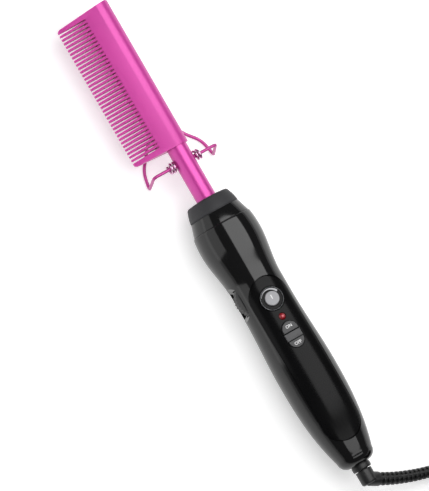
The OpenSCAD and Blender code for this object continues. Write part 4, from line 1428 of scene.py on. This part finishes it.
@dataclass
class Controls:
    """The control panel with its dial, light and buttons."""

    panel_front_x: float = -27.0 * MM
    panel_back_x: float = -131.7 * MM
    panel_w: float = 24.0 * MM
    panel_t: float = 1.6 * MM
    panel_sunk: float = 1.0 * MM
    dial_x: float = -40.8 * MM
    dial_r: float = 4.25 * MM
    bezel_r: float = 7.3 * MM
    led_x: float = -52.4 * MM
    led_r: float = 2.05 * MM
    keys_x: float = -56.1 * MM
    key_w: float = 9.5 * MM
    on_len: float = 6.2 * MM
    bar_len: float = 4.4 * MM
    off_len: float = 5.0 * MM
    key_out: float = 0.6 * MM
    letter_size: float = 2.55 * MM
    gap: float = 0.3 * MM

    @property
    def bar_x(self) -> float:
        """Front end of the bar between the buttons."""
        return self.keys_x - self.on_len - self.gap

    @property
    def off_x(self) -> float:
        """Front end of the OFF button."""
        return self.bar_x - self.bar_len - self.gap

    @property
    def keys_end(self) -> float:
        """Back end of the buttons' opening."""
        return self.off_x - self.off_len

    def face(self, x: float) -> float:
        """Height of the panel's middle line."""
        return AXIS_H + FORM.radius(x) - self.panel_sunk

    def panel(self) -> bmesh.types.BMesh:
        """The panel, cut flat and then laid on the handle's round."""
        flat = plate(stadium(self.panel_front_x, self.panel_back_x, self.panel_w / 2, 48),
                     -self.panel_t, 0.0)
        round_edges(flat, 0.3 * MM, 60, 3, lambda p: p.z > -0.1 * MM)
        piece = to_piece("flat", flat)
        high = 5 * MM
        carve(piece, disc(self.dial_x, 0, self.bezel_r + 0.1 * MM, -high, high, 96))
        carve(piece, disc(self.led_x, 0, self.led_r + 0.1 * MM, -high, high, 48))
        carve(piece, plate(stadium(self.keys_x + self.gap, self.keys_end - self.gap,
                                   self.key_w / 2 + self.gap), -high, high))
        bent = solid_of(piece)
        rows = [self.panel_back_x + i * 1.5 * MM for i in range(1, 70)]
        slice_across(bent, 0, rows)
        slice_across(bent, 1, [i * 1.2 * MM for i in range(-9, 10)])
        for knot in bent.verts:
            knot.co.z += AXIS_H + FORM.panel_drop(knot.co.x, knot.co.y)
        return bent

    def key(self, front: float, length: float) -> bmesh.types.BMesh:
        """A button's cap, with a rounded rim.

        Args:
            front: Its end towards the comb.
            length: Its length along the handle.

        Returns:
            The cap with its flange.
        """
        top = self.face(self.bar_x) + self.key_out
        low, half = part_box("on_button")[0].z, self.key_w / 2
        outline = stadium(self.keys_x, self.keys_end, half)
        cap = plate(outline, low + 0.3 * MM, top)
        keep_side(cap, (front, 0, 0), (-1, 0, 0))
        keep_side(cap, (front - length, 0, 0), (1, 0, 0))
        round_edges(cap, 0.45 * MM, 50, 5, lambda p: p.z > top - 0.1 * MM)
        flange = block((front - length + 0.6 * MM, -half - 0.6 * MM, low),
                       (front - 0.6 * MM, half + 0.6 * MM, low + 1.1 * MM))
        return join(cap, flange)

    def lettering(self, text: str, front: float, length: float) -> bmesh.types.BMesh:
        """Raised letters in the middle of a button, read with the comb upwards.

        Args:
            text: The word.
            front: The button's end towards the comb.
            length: The button's length.

        Returns:
            The letters.
        """
        data = bpy.data.curves.new("letters", "FONT")
        data.body, data.size = text, self.letter_size
        data.align_x, data.align_y = "CENTER", "CENTER"
        data.extrude, data.offset = 0.04 * MM, 0.05 * MM
        letters = bpy.data.objects.new("letters", data)
        bpy.context.scene.collection.objects.link(letters)
        mesh = bpy.data.meshes.new_from_object(
            letters.evaluated_get(bpy.context.evaluated_depsgraph_get()))
        bpy.data.objects.remove(letters)
        bm = bmesh.new()
        bm.from_mesh(mesh)
        bpy.data.meshes.remove(mesh)
        top = self.face(self.bar_x) + self.key_out
        turn = Matrix(((0, 1, 0), (-1, 0, 0), (0, 0, 1))).to_4x4()
        place = Matrix.Translation((front - length / 2, 0, top + 0.02 * MM)) @ turn
        move(bm, place)
        return face_out(bm)

    def bar(self) -> bmesh.types.BMesh:
        """The fixed bar between the buttons."""
        top = self.face(self.bar_x) + self.key_out - 0.2 * MM
        half = self.key_w / 2 + self.gap
        bm = block((self.bar_x - self.bar_len, -half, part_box("button_bar")[0].z),
                   (self.bar_x, half, top))
        return round_edges(bm, 0.25 * MM, 60, 3, lambda p: p.z > top - 0.1 * MM)

    def bezel(self) -> bmesh.types.BMesh:
        """The ring round the dial: a flat step with a raised rim."""
        top, low = self.face(self.dial_x) - 0.4 * MM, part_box("dial_bezel")[0].z
        hole, out = self.dial_r + self.gap, self.bezel_r
        section = [(low, hole), (top - 0.35 * MM, hole), (top - 0.25 * MM, hole + 0.1 * MM),
                   (top - 0.25 * MM, out - 1.1 * MM), (top - 0.1 * MM, out - 0.95 * MM),
                   *arc((top - 0.3 * MM, out - 0.6 * MM), 0.3 * MM, 0, 90, 5), (low, out)]
        return self.upright(section, self.dial_x, 96)

    def upright(self, section: Sequence[Point2], x: float, steps: int = 72) -> bmesh.types.BMesh:
        """Turns a section of (height, radius) round an upright line.

        Args:
            section: The points, which form a closed line.
            x: Place of the line along the handle.
            steps: Segments round it.

        Returns:
            The closed solid.
        """
        closed = section[0][1] > 0 or section[-1][1] > 0
        line = [(x + r, 0.0, z) for z, r in section]
        return face_out(spin(line, (x, 0, 0), (0, 0, 1), steps, closed))

    def rim_line(self) -> bmesh.types.BMesh:
        """The thin bright ring on the bezel's rim."""
        top = self.face(self.dial_x) - 0.4 * MM
        middle = (top, self.bezel_r - 0.62 * MM)
        section = [(middle[0] + 0.16 * MM * math.cos(a), middle[1] + 0.16 * MM * math.sin(a))
                   for a in (math.tau * i / 10 for i in range(10))]
        return self.upright(section, self.dial_x, 96)

    def grey_crescent(self) -> bmesh.types.BMesh:
        """A light grey crescent beside the dial that widens along its arc."""
        top = self.face(self.dial_x) - 0.65 * MM
        outer, steps = 6.1 * MM, 28
        rows = []
        for i in range(steps + 1):
            a, wide = math.radians(62 - 125 * i / steps), (0.12 + 1.1 * i / steps) * MM
            rows.append((a, wide))
        line = [(self.dial_x + outer * math.cos(a), outer * math.sin(a)) for a, _ in rows]
        line += [(self.dial_x + (outer - w) * math.cos(a), (outer - w) * math.sin(a))
                 for a, w in reversed(rows)]
        return plate(line, top - 0.05 * MM, top + 0.05 * MM)

    def dial(self) -> bmesh.types.BMesh:
        """The silver dial: a dished face in a rounded rim."""
        base = self.face(self.dial_x) - 0.4 * MM
        low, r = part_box("temperature_dial")[0].z, self.dial_r
        crown = base + 1.3 * MM
        section = [(low, 1.6 * MM), (low, 3 * MM), (base - 1 * MM, 3 * MM), (base - 1 * MM, r),
                   (base + 0.6 * MM, r), *arc((base + 0.75 * MM, r - 0.55 * MM), 0.55 * MM, 80,
                                              8, 6),
                   (crown - 0.12 * MM, r - 0.9 * MM), (crown - 0.12 * MM, 0.02 * MM),
                   (base - 0.6 * MM, 0.02 * MM), (base - 0.6 * MM, 1.6 * MM)]
        return self.upright(section, self.dial_x, 72)

    def pointer(self) -> bmesh.types.BMesh:
        """The white mark on the dial."""
        x, top = self.dial_x + 0.9 * MM, self.face(self.dial_x) + 0.86 * MM
        return round_edges(block((x - 1.3 * MM, -0.35 * MM, top - 0.4 * MM),
                                 (x + 1.3 * MM, 0.35 * MM, top)), 0.06 * MM, 60, 2)

    def lamp(self) -> bmesh.types.BMesh:
        """The light's clear dome on its stem."""
        top, low = self.face(self.led_x) - 1.0 * MM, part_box("power_led")[0].z
        r = self.led_r
        section = [(low, 0.0), (low, 0.3 * MM), (low + 1.3 * MM, 0.3 * MM), (low + 1.3 * MM, r),
                   *[(top + r * math.sin(math.radians(a)), r * math.cos(math.radians(a)))
                     for a in range(0, 91, 9)]]
        return self.upright(section, self.led_x, 48)

    def build(self) -> None:
        """Makes every control and dresses it."""
        handle = Body.HANDLE
        fit_piece(to_piece("panel", self.panel(), 30), PANEL_BLACK, handle, "control_panel")
        fit_piece(to_piece("dial_ring", self.bezel()), PANEL_BLACK, handle, "dial_bezel")
        fit_piece(to_piece("dial_ring_line", self.rim_line()), RING_CHROME, handle)
        fit_piece(to_piece("dial_crescent", self.grey_crescent()), CRESCENT_GREY, handle)
        fit_piece(to_piece("dial_knob", self.dial()), DIAL_SILVER, Body.DIAL, "temperature_dial")
        fit_piece(to_piece("dial_mark", self.pointer()), PRINT_WHITE, Body.DIAL, "dial_pointer")
        fit_piece(to_piece("lamp_lens", self.lamp()), LAMP_RED, handle, "power_led")
        fit_piece(to_piece("key_bar", self.bar()), BAR_GREY, handle, "button_bar")
        for word, front, length, body in (("on", self.keys_x, self.on_len, Body.ON_KEY),
                                          ("off", self.off_x, self.off_len, Body.OFF_KEY)):
            fit_piece(to_piece(word + "_key_cap", self.key(front, length)), KEY_BLACK, body,
                      word + "_button")
            fit_piece(to_piece(word + "_letters", self.lettering(word.upper(), front, length)),
                      PRINT_WHITE, body)


@dataclass
class Insides:
    """The CAD pieces that keep their own shape and only get a finish."""

    finishes: dict[str, "Finish"] = field(default_factory=dict)

    def build(self) -> None:
        """Gives each of those nodes its finish."""
        for name, finish in self.finishes.items():
            dress(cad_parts[name], finish)


# ---- Studio ----


@dataclass
class Studio:
    """The camera of the photograph, a plain floor and soft lights."""

    image: tuple[int, int] = (429, 491)
    scale: float = 0.57 * MM
    pivot_at: Point2 = (184.8, 161.35)
    tip_turn: float = math.radians(120)
    lean: float = math.radians(15.2)
    lead: float = math.radians(3.5)
    distance: float = 2.6
    sensor: float = 36.0
    floor_r: float = 7.0
    floor_colour: Colour = (0.8, 0.8, 0.8)
    world_light: float = 0.12
    floor_glow: float = 0.5

    def camera(self) -> None:
        """Sets the camera so that the stand's pivot falls on its place in the picture."""
        back = Vector((-math.sin(self.lead) * math.cos(self.lean),
                       math.cos(self.lead) * math.sin(self.lean),
                       math.cos(self.lead) * math.cos(self.lean))).normalized()
        along = (Vector((1, 0, 0)) - back.x * back).normalized()
        across = back.cross(along)
        turn = self.tip_turn
        right = along * math.cos(turn) - across * math.sin(turn)
        up = along * math.sin(turn) + across * math.cos(turn)
        width, height = self.image
        offset = ((self.pivot_at[0] - width / 2) * self.scale,
                  (height / 2 - self.pivot_at[1]) * self.scale)
        middle = Vector((PIVOT_X, 0, AXIS_H)) - right * offset[0] - up * offset[1]
        data = bpy.data.cameras.new("camera")
        data.sensor_width = self.sensor
        data.lens = self.distance * self.sensor / (height * self.scale)
        data.clip_start, data.clip_end = 0.05, 50.0
        camera = bpy.data.objects.new("camera", data)
        bpy.context.scene.collection.objects.link(camera)
        place = Matrix((right, up, back)).transposed().to_4x4()
        camera.matrix_world = Matrix.Translation(middle + back * self.distance) @ place
        bpy.context.scene.camera = camera

    def floor(self) -> None:
        """A wide pale floor whose rim curves up into a low wall."""
        section = [(0.0, 0, 0.0), (0.5, 0, 0.0), (self.floor_r - 1.0, 0, 0.0)]
        section += [(self.floor_r - 1.0 + math.sin(a), 0, 1.0 - math.cos(a))
                    for a in (math.pi / 2 * i / 10 for i in range(1, 11))]
        bm = spin(section, (0, 0, 0), (0, 0, 1), 72, False)
        bmesh.ops.remove_doubles(bm, verts=bm.verts[:], dist=1e-6)
        bmesh.ops.recalc_face_normals(bm, faces=bm.faces[:])
        floor = to_piece("floor", bm)
        floor.data.materials.append(self.floor_material())

    def floor_material(self) -> bpy.types.Material:
        """Pale matte floor that reads white to the camera and in gloss, and keeps shadows."""
        made = bpy.data.materials.new("floor")
        made.use_nodes = True
        tree = made.node_tree
        skin = tree.nodes["Principled BSDF"]
        skin.inputs["Base Color"].default_value = (*self.floor_colour, 1.0)
        skin.inputs["Roughness"].default_value = 0.9
        skin.inputs["Specular IOR Level"].default_value = 0.0
        skin.inputs["Emission Color"].default_value = (1.0, 1.0, 1.0, 1.0)
        path = tree.nodes.new("ShaderNodeLightPath")
        seen = maths(tree, "MAXIMUM", path.outputs["Is Camera Ray"], maths(
            tree, "MAXIMUM", path.outputs["Is Glossy Ray"], path.outputs["Is Transmission Ray"]))
        tree.links.new(maths(tree, "MULTIPLY", seen, self.floor_glow),
                       skin.inputs["Emission Strength"])
        return made

    def lamp(self, name: str, place: Sequence[float], aim: Sequence[float],
             size: Point2, level: float) -> None:
        """A soft rectangular light.

        Args:
            name: Name of the light.
            place: Where it hangs.
            aim: The point it faces.
            size: Its width and height.
            level: Its brightness; a white card lit to white has 1.
        """
        data = bpy.data.lights.new(name, "AREA")
        data.shape, data.size, data.size_y = "RECTANGLE", size[0], size[1]
        data.energy = level * math.pi * size[0] * size[1]
        light = bpy.data.objects.new(name, data)
        bpy.context.scene.collection.objects.link(light)
        facing = (Vector(place) - Vector(aim)).normalized()
        side = Vector((1, 0, 0))
        side = (side - side.dot(facing) * facing).normalized()
        upward = facing.cross(side)
        light.matrix_world = (Matrix.Translation(Vector(place))
                              @ Matrix((side, upward, facing)).transposed().to_4x4())
        light.visible_camera = False

    def build(self) -> None:
        """Makes the world, the floor and the lights."""
        scene = bpy.context.scene
        scene.view_settings.view_transform = "Standard"
        world = bpy.data.worlds.new("studio")
        world.use_nodes = True
        level = (self.world_light,) * 3 + (1.0,)
        world.node_tree.nodes["Background"].inputs["Color"].default_value = level
        scene.world = world
        self.floor()
        self.lamp("overhead", (0.145, -0.47, 1.0), (0.145, -0.47, 0.0), (0.91, 1.36), 2.9)
        self.lamp("side", (0.15, 0.30, 0.16), (0.15, 0.0, 0.16), (0.40, 0.30), 1.0)
        self.lamp("tail", (-0.61, -0.10, 1.0), (-0.11, -0.10, 0.02), (0.28, 1.30), 1.9)


def main() -> None:
    """Builds the camera and the lead first, then the rest of the comb and the studio."""
    logging.basicConfig(level=logging.INFO, format="%(name)s: %(message)s")
    studio = Studio()
    studio.camera()
    MainsLead().build()
    CombHead().build()
    Stand().build()
    Housing().build()
    Controls().build()
    Insides({"heater_rod": HEATER_GREY, "heater_sleeve": CERAMIC, "thermal_fuse": STEEL,
             "heat_sensor": CERAMIC, "heater_leads": WIRE_SKIN, "heat_washer": CERAMIC,
             "dial_potentiometer": SOFT_BLACK, "button_switches": SOFT_BLACK,
             "circuit_board": BOARD_GREEN, "thumb_wheel": WHEEL_RUBBER, "wheel_post": STEEL,
             "slip_rings": BRASS, "contact_brushes": BRASS, "supply_leads": WIRE_SKIN}).build()
    studio.build()


if __name__ == "__main__":
    main()
